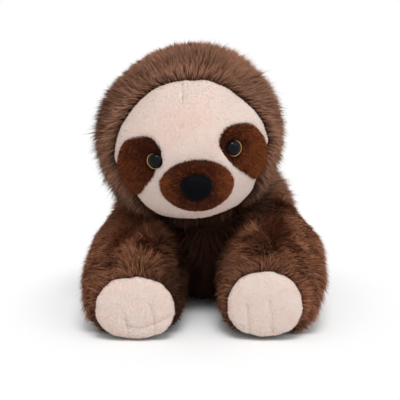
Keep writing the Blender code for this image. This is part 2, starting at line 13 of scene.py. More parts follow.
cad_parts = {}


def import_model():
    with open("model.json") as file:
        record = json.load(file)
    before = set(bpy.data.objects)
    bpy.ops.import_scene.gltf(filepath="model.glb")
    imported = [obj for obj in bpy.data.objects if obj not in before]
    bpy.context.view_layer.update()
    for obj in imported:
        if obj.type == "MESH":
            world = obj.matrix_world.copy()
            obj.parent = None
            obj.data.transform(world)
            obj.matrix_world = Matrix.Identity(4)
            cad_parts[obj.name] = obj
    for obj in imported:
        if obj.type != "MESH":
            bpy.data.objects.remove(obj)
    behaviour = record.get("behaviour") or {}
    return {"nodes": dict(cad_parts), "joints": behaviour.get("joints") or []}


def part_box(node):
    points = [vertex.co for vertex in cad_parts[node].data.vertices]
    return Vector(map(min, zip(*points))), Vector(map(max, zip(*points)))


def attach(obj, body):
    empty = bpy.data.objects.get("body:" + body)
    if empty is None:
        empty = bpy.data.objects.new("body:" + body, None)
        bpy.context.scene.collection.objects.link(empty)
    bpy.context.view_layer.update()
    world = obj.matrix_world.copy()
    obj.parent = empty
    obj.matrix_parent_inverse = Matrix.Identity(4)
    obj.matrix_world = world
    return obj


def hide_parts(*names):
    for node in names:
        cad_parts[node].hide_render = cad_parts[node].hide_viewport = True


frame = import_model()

bl_info = {
    "name": "Plush sloth",
    "version": (1, 0, 0),
    "blender": (4, 5, 0),
    "location": "3D View > Sidebar > Sloth",
    "description": "Dresses the sewn and stuffed frame of a plush sloth in pile, face, eyes and nose",
    "category": "Object",
}

# Limbs, and the CAD nodes that each body's skin goes round
LIMBS = ("left_arm", "right_arm", "left_leg", "right_leg")
SKINS = {
    "torso": ("torso_cover", "torso_filling", "pellet_bag"),
    "head": ("head_cover", "head_filling", "face_panel", "left_eye_patch", "right_eye_patch"),
    **{limb: (limb + "_cover", limb + "_filling", limb + "_pad") for limb in LIMBS},
}

# Directions that pile is combed in
DOWN = np.array((0.0, 0.0, -1.0))
BACK = np.array((0.0, 1.0, 0.0))

# Sides of the toy, as keys of the tables: 1 is its own left and -1 its right
SIDES = {1: "left", -1: "right"}

# Lean of the head in its resting pose
HEAD_PITCH = radians(-9.5)
HEAD_ROLL = radians(-7.5)

# Outlines on the face, in the head's own XZ, as shares of the head's radius
MASK_HALF_SHARES = (
    (0.000, 0.569), (0.272, 0.535), (0.442, 0.447), (0.565, 0.345), (0.708, 0.188), (0.806, 0.008),
    (0.846, -0.160), (0.818, -0.250), (0.745, -0.385), (0.690, -0.500), (0.655, -0.600),
    (0.592, -0.715), (0.428, -0.850), (0.224, -0.914), (0.000, -0.936),
)
PATCH_SHARES = (
    (0.556, 0.026), (0.435, 0.018), (0.360, -0.030), (0.304, -0.140), (0.337, -0.262),
    (0.405, -0.345), (0.508, -0.445), (0.606, -0.538), (0.664, -0.530), (0.752, -0.403),
    (0.790, -0.265), (0.760, -0.130), (0.676, -0.010),
)
FOREHEAD_DART_SHARES = ((0.000, 0.575), (-0.006, 0.450), (-0.020, 0.320))
CHIN_SEAM_SHARES = ((-0.026, -0.800), (-0.027, -0.940))
EYE_PLACE_SHARES = {1: (0.437, -0.201), -1: (0.379, -0.227)}
WARM_SPOT_SHARES = (0.12, 0.22)

# How much wider a patch's panel is than its outline, and where pile starts round an eye and the muzzle
PATCH_WIDENING = 0.0006
EYE_HOLE_RADIUS = 0.0068
MUZZLE_HOLE_SHARE = 0.93

# Muzzle: place as shares of the head's radius, height as a share of its width in the solid and here
MUZZLE_PLACE_SHARES = (0.0, -0.735, -0.515)
MUZZLE_PITCH = radians(8.0)
MUZZLE_ROLL = radians(7.0)
MUZZLE_SHIFT = (0.0008, 0.0, 0.0010)
MUZZLE_INSET = 0.0002
MUZZLE_HEIGHT_SHARES = {"solid": 0.79, "dressed": 0.78}
MUZZLE_TAPERS = {"below": 0.02, "above": -0.05}

# Nose: half sizes, and its place as shares of the muzzle's half width and half height
NOSE_SIZES = (0.0122, 0.0101, 0.0068)
NOSE_WIDENING = 0.15
NOSE_AHEAD_SHARE = 1.018
NOSE_RISE_SHARE = 0.04
NOSE_SHIFT = 0.0004
NOSE_HOLE_SIZES = (0.0118, 0.0096)
NOSE_HOLE_DROP_SHARE = 0.19

# Eyes: the dome over its foot, and the gold rim, which shows most at one side of it
EYE_RADIUS, EYE_FOOT, EYE_DEPTH = 0.0061, 0.0014, 0.0042
RIM_RADIUS, RIM_THICKNESS, RIM_HEIGHT, RIM_SHIFT = 0.0059, 0.00042, 0.0017, 0.00055
RIM_SIDES = 12
RIM_ANGLES = {1: radians(-25.0), -1: radians(195.0)}

# Seams sewn into the sole pads, in the pad's own XZ, as shares of its half sizes
PAD_SEAM_SHARES = {
    1: (
        ((-0.47, -0.02), (-0.45, -0.45), (-0.41, -0.92)),
        ((0.12, 0.18), (0.20, -0.35), (0.24, -0.90)),
    ),
    -1: (
        ((-0.25, -0.30), (-0.20, -0.65), (-0.17, -0.97)),
        ((0.39, 0.18), (0.50, -0.34), (0.49, -0.76)),
        ((-0.20, -0.54), (0.10, -0.62), (0.50, -0.48), (0.90, -0.25)),
    ),
}

# Shape of a sole pad: how square its oval is, and how each arm's pad is stretched and dropped
PAD_POINTS = 120
PAD_SQUARENESS = 0.88
PAD_TAPER = 0.07
PAD_STRETCH_SHARES = {"left_arm": (0.955, 1.00), "right_arm": (1.01, 0.96)}
PAD_DROPS = {"left_arm": -0.0004, "right_arm": 0.0024}

# Relief of a sole pad: how far its middle stands out, and how it falls off towards its rim and its seam
PAD_PROUD, PAD_ROUNDING, PAD_SEAM_DEPTH, PAD_SEAM_FADE = 0.0010, 0.0034, 0.0026, 0.0024

# Where the head's pile is longer or shorter: direction from its middle, spread and change of length
HEAD_TUFTS = (
    ((-0.62, -0.10, 0.85), 0.50, -0.56),
    ((-0.05, -0.10, 1.00), 0.45, -0.40),
    ((0.62, -0.10, 0.75), 0.40, -0.16),
    ((-1.00, -0.10, -0.25), 0.45, 0.08),
    ((-0.79, 0.00, -0.61), 0.30, 0.40),
)

# The hollow between the head and the right shoulder, and how much longer an arm's pile is there
NECK_FILL = (-0.076, -0.065, 0.096)
NECK_GROWTH = {"right_arm": 1.20}

# How far the pile of each forearm stands out on its outer side, and how high up
ARM_BULGES = {"left_arm": 0.0062, "right_arm": 0.0032}
BULGE_HEIGHT = 0.043
BULGE_GROWTH = 36.0
SHOULDER_HEIGHT = 0.066

# Tint of a limb's pile, from 0, dark, to 1, light: all over, and what each of its parts adds
# The inner side's darkening is painted shade between the limb and the body, and the seam's lightening is
# painted light over the shade round the pad
LIMB_TINTS = {
    1: {"all": 0.44, "outer": 0.28, "high": 0.20, "inner": -0.14, "round the pad": -0.11, "seam": 0.20},
    -1: {"all": 0.30, "outer": 0.34, "high": 0.56, "inner": -0.50, "round the pad": -0.27, "seam": 0.20},
}
# Tint of an eye patch's pile: all over, and the painted shade round the eye, in the dip it draws in
PATCH_TINTS = {1: {"all": 0.16, "round the eye": -0.14}, -1: {"all": 0.00, "round the eye": -0.30}}

# Where a skin stands out over the solid, or lies in under it
LIMB_LIFTS = {"seam": 0.0014, "shoulder": -0.0026, "squashed": 0.0084, "all": 0.0022, "inner": -0.0036}
HEAD_SEAM_LIFT = 0.0018
CHEST_LIFT = 0.0100

# Long pile at a sewn edge: its share of length, over what width it grows, and how far it hangs over
EDGE_LENGTH_SHARE, EDGE_WIDTH = 0.74, 0.016
OVERLAPS = {"head": 0.0013, "limb": 0.0011}
COVER_FADE = 0.0008
FULL_COVER = 4.0

# Long pile close to another body or to the floor: how far away they count, and what is left of it
GAP_SEARCH = 0.03
UNDERSIDE = 0.45
LEAST_LENGTHS = {"body": 0.48, "floor": 0.35}
CROWDED_SHARE = 0.45
CROWDED_COVER = 0.45
FLOOR_CLEARANCE = 0.0008

# Skins under the long pile, and what share of the panel's strands and lock size each kind of body has
SKIN_SPACING, SKIN_ROUNDS = 0.0026, 10
STRAND_SHARES = {"head": 1.0, "torso": 0.90, "arm": 0.80, "leg": 0.46}
LOCK_SHARES = {"head": 0.72, "torso": 0.68, "arm": 0.68, "leg": 0.68}
# Darkening of the undercoat, a copy of the long pile, and of the backing: painted shade deep in the pile
UNDERCOAT_SHARE, UNDERCOAT_PAINTED_SHADE = 0.8, 0.62
BACKING_PAINTED_SHADE = 0.6
NAP_STRANDS = {"face": 30000, "arm": 9000, "leg": 5000}
PATCH_STRANDS, MUZZLE_STRANDS = 9000, 22000

# How strands stand: their bend and lean, the pull and growth of locks, and how much they stray
LONG_STANCE = {
    "bend": 0.28, "lock_pull": 0.34, "lock_growth": 0.44, "ruffle": 0.30, "scatter": 0.22,
    "tint_spread": 0.26, "lock_spread": 0.26,
}
SHORT_STANCES = {
    "rust pile": {
        "width": 0.00040, "bend": 0.3, "lean": 0.55, "lock_size": 0.0020, "lock_pull": 0.65,
        "ruffle": 0.5, "scatter": 0.25, "tint_spread": 0.28, "lock_spread": 0.45,
    },
    "pale nap": {
        "width": 0.00040, "bend": 0.3, "lean": 0.7, "lock_size": 0.0018, "lock_pull": 0.8,
        "ruffle": 0.4, "scatter": 0.30, "tint_spread": 0.40, "lock_spread": 0.50,
    },
}

# Inputs of the Geometry Nodes that grow pile
PILE_INPUTS = {
    "Geometry": ("Skin",),
    "Float": (
        "Density", "Length", "Width", "Bend", "Lean", "Lock Size", "Lock Pull", "Lock Growth", "Ruffle",
        "Scatter", "Tint Spread", "Lock Spread"),
    "Int": ("Seed",),
    "Material": ("Material",),
}

# Starts of the smooth noise in outlines and coats
SEEDS = {
    "mask": 11, "patch": 12, "pad": 17, "head": 5, "limb": 6, "swirl": (31, 32, 33), "torso": 7,
    "patch pile": 8, "muzzle pile": 9, "face nap": 21, "pad nap": 22,
}

# Stage: the middle of the toy's footprint, what the camera and the lamps aim at, and the lamps
FOOTPRINT_MIDDLE = (0.0, -0.10, 0.0)
CAMERA_TARGET = (-0.0045, -0.0960, 0.0900)
LAMP_TARGET = (0.0, -0.08, 0.08)
KEY_PLACE, KEY_SIZE = (0.12, -0.92, 1.62), 0.62
FILL_PLACE, FILL_SIZE = (1.05, -0.85, 0.95), 0.9
WHITE = (1.0, 1.0, 1.0, 1.0)

# Share of plain white in the floor: in its middle, what it gains between two distances from there, and
# how far round the toy, and at what openness, its shadow of contact is kept
FLOOR_WHITE = 0.18
FLOOR_FADES = ((0.115, 0.180, 0.59), (0.000, 0.050, 0.23))
CONTACT_REACH, CONTACT_SAMPLES, CONTACT_OPENNESS = 0.030, 8, (0.25, 0.80)


def metres(name, description, default):
    """A length on the panel."""
    return FloatProperty(name=name, description=description, default=default, unit="LENGTH")


def tone(name, description, default):
    """A colour on the panel."""
    return FloatVectorProperty(name=name, description=description, default=default, subtype="COLOR")


class PileSizes(PropertyGroup):
    """Lengths and thicknesses of the pile."""

    long_length: metres("Long pile", "Length of the brown pile", 0.0140)
    long_width: metres("Strand width", "Width of a brown strand at its root", 0.00042)
    under_length: metres("Undercoat", "Length of the brown undercoat", 0.0098)
    under_width: metres("Undercoat width", "Width of an undercoat strand", 0.00050)
    rust_length: metres("Rust pile", "Length of the pile on the muzzle and round the eyes", 0.0027)
    cream_length: metres("Cream pile", "Length of the pale velour's nap", 0.0012)
    lock_size: metres("Lock", "Distance between the locks that long strands gather in", 0.0042)
    skin_depth: metres("Skin depth", "How far the backing lies under the middle of the long pile", 0.0045)
    strands: IntProperty(
        name="Strands", description="Most strands in one layer of one piece", default=60000)
    seed: IntProperty(name="Seed", description="Start of every random choice", default=3)


class FaceSizes(PropertyGroup):
    """Relief of the sewn panels."""

    crown: metres("Crown", "How far a sewn panel swells over its seam", 0.0016)
    seam_depth: metres("Seam depth", "How far a seam pulls the cloth in", 0.0016)
    seam_width: metres("Seam width", "Width of the dip along a seam", 0.0017)
    patch_sink: metres("Patch sink", "How far the face lies in under an eye patch", 0.0034)
    dart_depth: metres("Dart depth", "Depth of the darts in the velour", 0.0010)
    dart_width: metres("Dart width", "Width of the darts in the velour", 0.0008)
    cloth: metres("Cloth", "Thickness of a panel", 0.0020)
    weave: metres("Mesh spacing", "Distance between a panel's vertices", 0.0013)


class Colours(PropertyGroup):
    """Colours of the cloths and the fittings."""

    brown_root: tone("Brown root", "Long pile at the skin", (0.042, 0.017, 0.009))
    brown_dark: tone("Brown dark", "Darkest strands of the long pile", (0.045, 0.017, 0.009))
    brown_light: tone("Brown light", "Lightest strands of the long pile", (0.500, 0.245, 0.152))
    brown_warm: tone("Warm brown", "Lightest strands on the arms and the legs", (0.455, 0.190, 0.102))
    rust_dark: tone("Rust dark", "Darkest strands of the rust pile", (0.050, 0.011, 0.005))
    rust_light: tone("Rust light", "Lightest strands of the rust pile", (0.270, 0.072, 0.021))
    cream: tone("Cream", "Pale velour", (0.880, 0.780, 0.724))
    blush: tone("Blush", "Warmer parts of the pale velour", (0.870, 0.660, 0.570))
    gold: tone("Gold", "Rim of the eyes", (0.640, 0.410, 0.110))
    black: tone("Black", "Nose and eyes", (0.002, 0.002, 0.003))


class StudioSizes(PropertyGroup):
    """Camera, lamps and floor."""

    camera_distance: metres("Camera distance", "From the camera to the toy's middle", 1.0)
    camera_elevation: FloatProperty(
        name="Camera elevation", description="Angle above the floor", default=radians(13.0), subtype="ANGLE")
    camera_lens: FloatProperty(
        name="Lens", description="Focal length in millimetres on a 36 mm sensor", default=105.84)
    floor_size: metres("Floor", "Side of the floor", 14.0)
    key_power: FloatProperty(name="Key", description="Power of the key lamp", default=15.0, unit="POWER")
    fill_power: FloatProperty(name="Fill", description="Power of the fill lamp", default=3.5, unit="POWER")
    sky: FloatProperty(name="Sky", description="Strength of the even light from all sides", default=0.54)


class SlothSizes(PropertyGroup):
    """Everything that a user would change."""

    pile: PointerProperty(type=PileSizes)
    face: PointerProperty(type=FaceSizes)
    colours: PointerProperty(type=Colours)
    studio: PointerProperty(type=StudioSizes)


class Term:
    """An output that takes part in sums: each operator adds a Math node to its tree."""

    def __init__(self, nodes, socket):
        self.nodes = nodes
        self.socket = socket

    def math(self, operation, *values, clamp=False):
        """One Math node on the given values."""
        return self.nodes.add("ShaderNodeMath", {"operation": operation, "use_clamp": clamp}, values)

    def __add__(self, other):
        return self.math("ADD", self, other)

    def __radd__(self, other):
        return self.math("ADD", other, self)

    def __sub__(self, other):
        return self.math("SUBTRACT", self, other)

    def __rsub__(self, other):
        return self.math("SUBTRACT", other, self)

    def __mul__(self, other):
        return self.math("MULTIPLY", self, other)

    def __rmul__(self, other):
        return self.math("MULTIPLY", other, self)

    def __truediv__(self, other):
        return self.math("DIVIDE", self, other)

    def __rtruediv__(self, other):
        return self.math("DIVIDE", other, self)

    def __pow__(self, other):
        return self.math("POWER", self, other)

    def clamped(self):
        """Held between 0 and 1."""
        return self.math("ADD", self, 0.0, clamp=True)

    def at_least(self, other):
        """The larger of two values."""
        return self.math("MAXIMUM", self, other)


class Nodes:
    """Adds nodes to one tree, for a material or for Geometry Nodes."""

    def __init__(self, tree):
        self.tree = tree

    def add(self, kind, settings=None, values=(), output=0):
        """Add one node: settings first, then values or links on its sockets. Returns one output."""
        node = self.tree.nodes.new(kind)
        for name, value in (settings or {}).items():
            setattr(node, name, value)
        pairs = values.items() if isinstance(values, dict) else enumerate(values)
        for key, value in pairs:
            self.feed(socket_of(node.inputs, key), value)
        return Term(self, socket_of(node.outputs, output)) if node.outputs else node

    def feed(self, socket, value):
        """Link an output to a socket, or set the socket."""
        if isinstance(value, Term):
            self.tree.links.new(value.socket, socket)
        else:
            socket.default_value = value

    def vector(self, operation, *values, output=0):
        """One Vector Math node."""
        return self.add("ShaderNodeVectorMath", {"operation": operation}, values, output)

    def scaled(self, vector, factor):
        """A vector times a number."""
        return self.add("ShaderNodeVectorMath", {"operation": "SCALE"}, {0: vector, "Scale": factor})

    def part(self, vector, axis):
        """One number of a vector."""
        return self.add("ShaderNodeSeparateXYZ", None, (vector,), axis)

    def joined(self, *parts):
        """A vector of two or three numbers."""
        return self.add("ShaderNodeCombineXYZ", None, parts)

    def sum(self, first, *others):
        """Sum of vectors."""
        for other in others:
            first = self.vector("ADD", first, other)
        return first

    def colour(self, factor, first, second):
        """Mix of two colours."""
        return self.add("ShaderNodeMix", {"data_type": "RGBA"}, {
            "Factor_Float": factor, "A_Color": first, "B_Color": second}, "Result_Color")

    def ramp(self, value, low, high):
        """Smooth step from 0 to 1 between two values."""
        return self.add("ShaderNodeMapRange", {"interpolation_type": "SMOOTHSTEP"}, {
            "Value": value, "From Min": low, "From Max": high})


def socket_of(sockets, key):
    """Socket by its number, the name of an enabled socket or its identifier."""
    if isinstance(key, int):
        return sockets[key]
    named = [socket for socket in sockets if socket.name == key and socket.enabled]
    return named[0] if named else next(socket for socket in sockets if socket.identifier == key)


def opaque(colour):
    """Colour with its alpha."""
    return (*colour, 1.0)


def finish(name, roughness, specular, build, **constants):
    """Material whose Base Color and Normal come from a function of its nodes."""
    made = bpy.data.materials.new(name)
    made.use_nodes = True
    nodes = Nodes(made.node_tree)
    shader = made.node_tree.nodes["Principled BSDF"]
    shader.inputs["Roughness"].default_value = roughness
    shader.inputs["Specular IOR Level"].default_value = specular
    for key, value in constants.items():
        shader.inputs[key.replace("_", " ").title()].default_value = value
    for key, value in build(nodes).items():
        nodes.feed(shader.inputs[key], value)
    return made


def object_place(nodes):
    """Place on the piece, in metres."""
    return nodes.add("ShaderNodeTexCoord", output="Object")


def grain(nodes, scale, detail=3.0):
    """Noise between 0 and 1 at a scale, per metre."""
    return nodes.add("ShaderNodeTexNoise", None, {
        "Vector": object_place(nodes), "Scale": scale, "Detail": detail})


def bump(nodes, height, distance, strength=1.0):
    """Normal from a height."""
    return nodes.add("ShaderNodeBump", None, {
        "Height": height, "Distance": distance, "Strength": strength})


def pile_finish(name, root, dark, light, roughness=0.70, specular=0.08):
    """Strands: dark at the root, as painted shade deep in the pile, towards the strand's own tint at the tip,
    where the lighter tips are partly the fur's own and partly a painted highlight.
    """
    def build(nodes):
        place = nodes.add("ShaderNodeUVMap", {"uv_map": "OFBake"})
        tint, along = nodes.part(place, "X"), nodes.part(place, "Y")
        own = nodes.colour(tint, opaque(dark), opaque(light))
        tipped = nodes.colour(nodes.ramp(along, 0.45, 1.0) * tint * 0.70, own, opaque(light))
        return {"Base Color": nodes.colour(nodes.ramp(along, -0.50, 0.45), opaque(root), tipped)}
    return finish(name, roughness, specular, build)


def mottled(name, roughness, specular, scale, first, second, relief=0.0, **constants):
    """Two near colours in clouds of a scale, with a relief of the same clouds."""
    def build(nodes):
        cloud = grain(nodes, scale)
        links = {"Base Color": nodes.colour(cloud, opaque(first), opaque(second))}
        if relief:
            links["Normal"] = bump(nodes, cloud, relief)
        return links
    return finish(name, roughness, specular, build, **constants)


def skin_finish(name, colour):
    """Backing cloth under the pile, darkened as painted shade deep in the pile."""
    return mottled(name, 0.95, 0.1, 900.0, Vector(colour) * BACKING_PAINTED_SHADE, colour, 0.0004)


def velour_finish(name, cream, blush):
    """Pale velour: a soft brushed surface with faint warmer clouds."""
    def build(nodes):
        cloud = nodes.ramp(grain(nodes, 22.0, 2.0), 0.48, 0.72)
        brushed = grain(nodes, 420.0, 4.0)
        fine = grain(nodes, 1900.0, 2.0)
        base = nodes.colour(cloud * 0.55, opaque(cream), opaque(blush))
        worn = nodes.colour(nodes.ramp(brushed, 0.35, 0.75) * 0.10, base, opaque(Vector(cream) * 0.72))
        return {"Base Color": worn, "Normal": bump(nodes, brushed * 0.6 + fine * 0.4, 0.0005, 0.6)}
    return finish(name, 0.9, 0.15, build, sheen_weight=0.25, sheen_roughness=0.5)


def set_attribute(mesh, name, kind, values):
    """Write one value for each vertex."""
    field = "vector" if kind == "FLOAT_VECTOR" else "value"
    made = mesh.attributes.new(name, kind, "POINT")
    made.data.foreach_set(field, np.ascontiguousarray(values, dtype=np.float32).ravel())


def write_coat(mesh, normals, comb, length, cover, tint, lean=1.0):
    """Write on a mesh how its pile lies, and its length, cover and tint, each for all or one by one."""
    comb = unit(tangent(np.zeros_like(normals) + comb, normals)) * lean
    set_attribute(mesh, "comb", "FLOAT_VECTOR", comb)
    for name, values in (("pile", length), ("cover", cover), ("tint", tint)):
        set_attribute(mesh, name, "FLOAT", np.zeros(len(normals)) + values)


def vertices(mesh):
    """Places and normals of a mesh's vertices."""
    found = []
    for field in ("co", "normal"):
        values = np.empty(len(mesh.vertices) * 3, dtype=np.float32)
        mesh.vertices.foreach_get(field, values)
        found.append(values.reshape(-1, 3).astype(float))
    return found


def linked(name, data):
    """New object in the scene."""
    made = bpy.data.objects.new(name, data)
    bpy.context.scene.collection.objects.link(made)
    return made


def plain(holder):
    """Mesh that an object's modifiers make of it. The object goes."""
    view = bpy.context.evaluated_depsgraph_get()
    mesh = bpy.data.meshes.new_from_object(holder.evaluated_get(view))
    bpy.data.objects.remove(holder)
    return mesh


def add_piece(name, mesh, body, slot, *nodes):
    """Link a finished mesh, let it ride on its body and stand for the CAD nodes it replaces."""
    mesh.name = name
    made = linked(name, mesh)
    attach(made, body)
    if nodes:
        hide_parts(*nodes)
    return made


def mesh_of(bm, material, outward=True):
    """Mesh from an edit mesh, smooth, with its faces outwards."""
    if outward:
        bmesh.ops.recalc_face_normals(bm, faces=bm.faces)
    mesh = bpy.data.meshes.new("made")
    bm.to_mesh(mesh)
    bm.free()
    mesh.shade_smooth()
    mesh.materials.append(material)
    return mesh


def joint_place(name):
    """Where a joint of the frame is."""
    joint = next(joint for joint in frame["joints"] if joint["name"] == name)
    return Vector(joint["pos_m"])


def corners(node):
    """Lowest and highest corner of a CAD node."""
    return [Vector(corner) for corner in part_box(node)]


def head_radius():
    """Radius of the head's ball."""
    low, high = corners("head_cover")
    return (high.z - low.z) / 2


def head_frame():
    """Head's own frame: its middle, and its lean."""
    turn = Matrix.Rotation(HEAD_PITCH, 4, "X") @ Matrix.Rotation(HEAD_ROLL, 4, "Y")
    return Matrix.Translation(joint_place("head_turn")) @ turn


def muzzle_frame():
    """Middle of the muzzle, with the nose along -Y."""
    place = Vector(MUZZLE_PLACE_SHARES) * head_radius()
    return head_frame() @ Matrix.Translation(place) @ Matrix.Rotation(MUZZLE_PITCH, 4, "X")


def muzzle_half_width():
    """Half the width of the muzzle's solid."""
    low, high = corners("muzzle_cover")
    return (high.x - low.x) / 2


def from_head(places):
    """Ways from the head's middle to some places."""
    return places - np.array(joint_place("head_turn"))


def facing_out(places, normals):
    """How squarely a surface of the head faces away from its middle."""
    return np.sum(normals * unit(from_head(places)), axis=1)


def eye_frame(side):
    """Frame on the head at an eye: Z outwards, Y up."""
    across, up = EYE_PLACE_SHARES[side][0] * side, EYE_PLACE_SHARES[side][1]
    out = Vector((across, -sqrt(1 - across ** 2 - up ** 2), up))
    right = Vector((0.0, 0.0, 1.0)).cross(out).normalized()
    turn = Matrix((right, out.cross(right), out)).transposed().to_4x4()
    return head_frame() @ Matrix.Translation(out * head_radius()) @ turn


def eye_middle(side):
    """Middle of an eye in the head's XZ."""
    return np.array(EYE_PLACE_SHARES[side]) * (side, 1) * head_radius()


def limb_frame(name):
    """Frame on a limb's joint at the floor, with the resting limb along -Y."""
    joint = joint_place(name + "_swing")
    low, high = corners(name + "_pad")
    ahead = (low + high) / 2 - joint
    ahead.z = 0.0
    ahead.normalize()
    side = Vector((-ahead.y, ahead.x, 0.0))
    turn = Matrix((side, -ahead, Vector((0.0, 0.0, 1.0)))).transposed().to_4x4()
    return Matrix.Translation((joint.x, joint.y, 0.0)) @ turn


def side_of(name):
    """Side of the toy that a limb is on."""
    return 1 if name.startswith("left") else -1


def world(matrix, spots):
    """Places of a frame's own coordinates in the world."""
    matrix = np.array(matrix)
    return spots @ matrix[:3, :3].T + matrix[:3, 3]


def local(matrix, places):
    """World places in a frame's own coordinates."""
    return world(matrix.inverted(), places)


def directions(matrix, flat):
    """Directions in a frame's XZ as directions in the world."""
    spots = np.stack([flat[:, 0], np.zeros(len(flat)), flat[:, 1]], axis=1)
    return spots @ np.array(matrix)[:3, :3].T


def smooth_outline(points, steps):
    """Smooth closed outline through the points, with the given steps between each two."""
    points = np.array(points, dtype=float)
    t = np.arange(steps)[:, None] / steps
    curve = []
    for index in range(len(points)):
        before, start, end, after = (points[(index + k) % len(points)] for k in (-1, 0, 1, 2))
        bend = (2 * before - 5 * start + 4 * end - after) * t ** 2
        twist = (3 * start - before - 3 * end + after) * t ** 3
        curve.append((2 * start + (end - before) * t + bend + twist) / 2)
    return np.vstack(curve)


def mask_outline():
    """Outline of the pale face in the head's XZ."""
    right = np.array(MASK_HALF_SHARES) * head_radius()
    left = right[-2:0:-1] * (-1, 1)
    return wavy(smooth_outline(np.vstack([right, left]), 8), 0.00035, SEEDS["mask"])


def patch_outline(side):
    """Outline of one eye patch in the head's XZ."""
    outline = smooth_outline(np.array(PATCH_SHARES) * head_radius() * (side, 1), 6)
    return wavy(outline, 0.00030, SEEDS["patch"] + side)


def wavy(outline, depth, seed):
    """Hand-sewn outline: each point a little nearer to the middle or farther from it."""
    middle = outline.mean(axis=0)
    places = np.hstack([outline, np.zeros((len(outline), 1))])
    push = depth * clouds(places, 0.009, seed)
    return outline + unit(outline - middle) * push[:, None]


def path_distance(points, path):
    """Distance from each point to a path of straight runs."""
    nearest = np.full(len(points), np.inf)
    for start, end in zip(path, path[1:]):
        run = end - start
        share = np.clip((points - start) @ run / (run @ run), 0.0, 1.0)
        nearest = np.minimum(nearest, np.linalg.norm(points - start - share[:, None] * run, axis=1))
    return nearest


def edge_distance(points, outline):
    """Distance from each point to a closed outline, positive inside it."""
    closed = np.vstack([outline, outline[:1]])
    inside = np.zeros(len(points), dtype=bool)
    for (x0, y0), (x1, y1) in zip(closed, closed[1:]):
        if y0 == y1:
            continue
        crosses = (points[:, 1] < y0) != (points[:, 1] < y1)
        inside ^= crosses & (points[:, 0] < (x1 - x0) * (points[:, 1] - y0) / (y1 - y0) + x0)
    return np.where(inside, 1, -1) * path_distance(points, closed)


def bell(distance, width):
    """1 at no distance, fading over the width."""
    return np.exp(-(distance / width) ** 2)


def step(value, low, high):
    """Smooth step from 0 to 1."""
    t = np.clip((value - low) / (high - low), 0.0, 1.0)
    return t * t * (3 - 2 * t)


def panel(outline, spacing, place, back):
    """Closed panel: an outline filled with even triangles and put in place, with a back of its own."""
    low, high = outline.min(axis=0), outline.max(axis=0)
    rows = np.arange(low[1], high[1], spacing * sqrt(3) / 2)
    grid = [
        (x, row) for index, row in enumerate(rows)
        for x in np.arange(low[0] + (index % 2) * spacing / 2, high[0], spacing)]
    grid = np.array(grid)
    grid = grid[edge_distance(grid, outline) > spacing * 0.55]
    points = [Vector(point) for point in np.vstack([outline, grid])]
    count = len(outline)
    rim = [(index, (index + 1) % count) for index in range(count)]
    flat, _, faces, _, _, _ = delaunay_2d_cdt(points, rim, [], 1, 1e-9)
    flat = np.array([tuple(point) for point in flat])
    distance = np.maximum(edge_distance(flat, outline), 0.0)
    bm = bmesh.new()
    fronts = [bm.verts.new(point) for point in place(flat, distance)]
    backs = [bm.verts.new(point) for point in back(flat, distance)]
    uses = {}
    for face in faces:
        bm.faces.new([fronts[index] for index in face])
        bm.faces.new([backs[index] for index in reversed(face)])
        for pair in zip(face, (*face[1:], face[0])):
            uses[tuple(sorted(pair))] = None if tuple(sorted(pair)) in uses else pair
    for pair in filter(None, uses.values()):
        bm.faces.new((fronts[pair[1]], fronts[pair[0]], backs[pair[0]], backs[pair[1]]))
    return bm


def skin_mesh(nodes, depth, spacing, rounds):
    """Smooth closed skin round some CAD nodes, drawn in by the depth."""
    bm = bmesh.new()
    for node in nodes:
        bm.from_mesh(frame["nodes"][node].data)
    bmesh.ops.remove_doubles(bm, verts=bm.verts, dist=1e-6)
    rough = bpy.data.meshes.new("rough")
    bm.to_mesh(rough)
    bm.free()
    holder = linked("holder", rough)
    remesh = holder.modifiers.new("Remesh", "REMESH")
    remesh.mode = "VOXEL"
    remesh.voxel_size = spacing
    bm = bmesh.new()
    bm.from_mesh(plain(holder))
    shell = largest_shell(bm)
    bmesh.ops.delete(bm, geom=[vertex for vertex in bm.verts if vertex not in shell], context="VERTS")
    for _ in range(rounds):
        bmesh.ops.smooth_vert(
            bm, verts=bm.verts, factor=0.5, use_axis_x=True, use_axis_y=True, use_axis_z=True)
    bm.normal_update()
    for vertex in bm.verts:
        vertex.co -= vertex.normal * depth
    return bm


def largest_shell(bm):
    """Vertices of the edit mesh's largest connected shell."""
    left = set(bm.verts)
    best = set()
    while left:
        shell = set()
        front = [left.pop()]
        while front:
            vertex = front.pop()
            shell.add(vertex)
            for edge in vertex.link_edges:
                other = edge.other_vert(vertex)
                if other in left:
                    left.remove(other)
                    front.append(other)
        if len(shell) > len(best):
            best = shell
    return best


def turned(matrix, profile, segments=64, closed=False):
    """Edit mesh turned round a frame's Z from (radius, height) pairs: from axis to axis, or a ring."""
    bm = bmesh.new()
    turns = [2 * pi * index / segments for index in range(segments)]
    rings = []
    for radius, height in profile:
        spots = [(radius * cos(turn), radius * sin(turn), height) for turn in turns]
        rings.append([bm.verts.new(spot) for spot in (spots if radius else spots[:1])])
    for lower, upper in zip(rings, (*rings[1:], rings[0]) if closed else rings[1:]):
        for index in range(segments):
            after = (index + 1) % segments
            face = [lower[index % len(lower)], lower[after % len(lower)]]
            face += [upper[after % len(upper)], upper[index % len(upper)]]
            bm.faces.new(dict.fromkeys(face))
    bmesh.ops.transform(bm, matrix=matrix, verts=bm.verts)
    return bm


def quarter_turns(first, count):
    """Angles from the rim of a dome up to just below its top."""
    return [pi / 2 * index / count for index in range(first, count)]


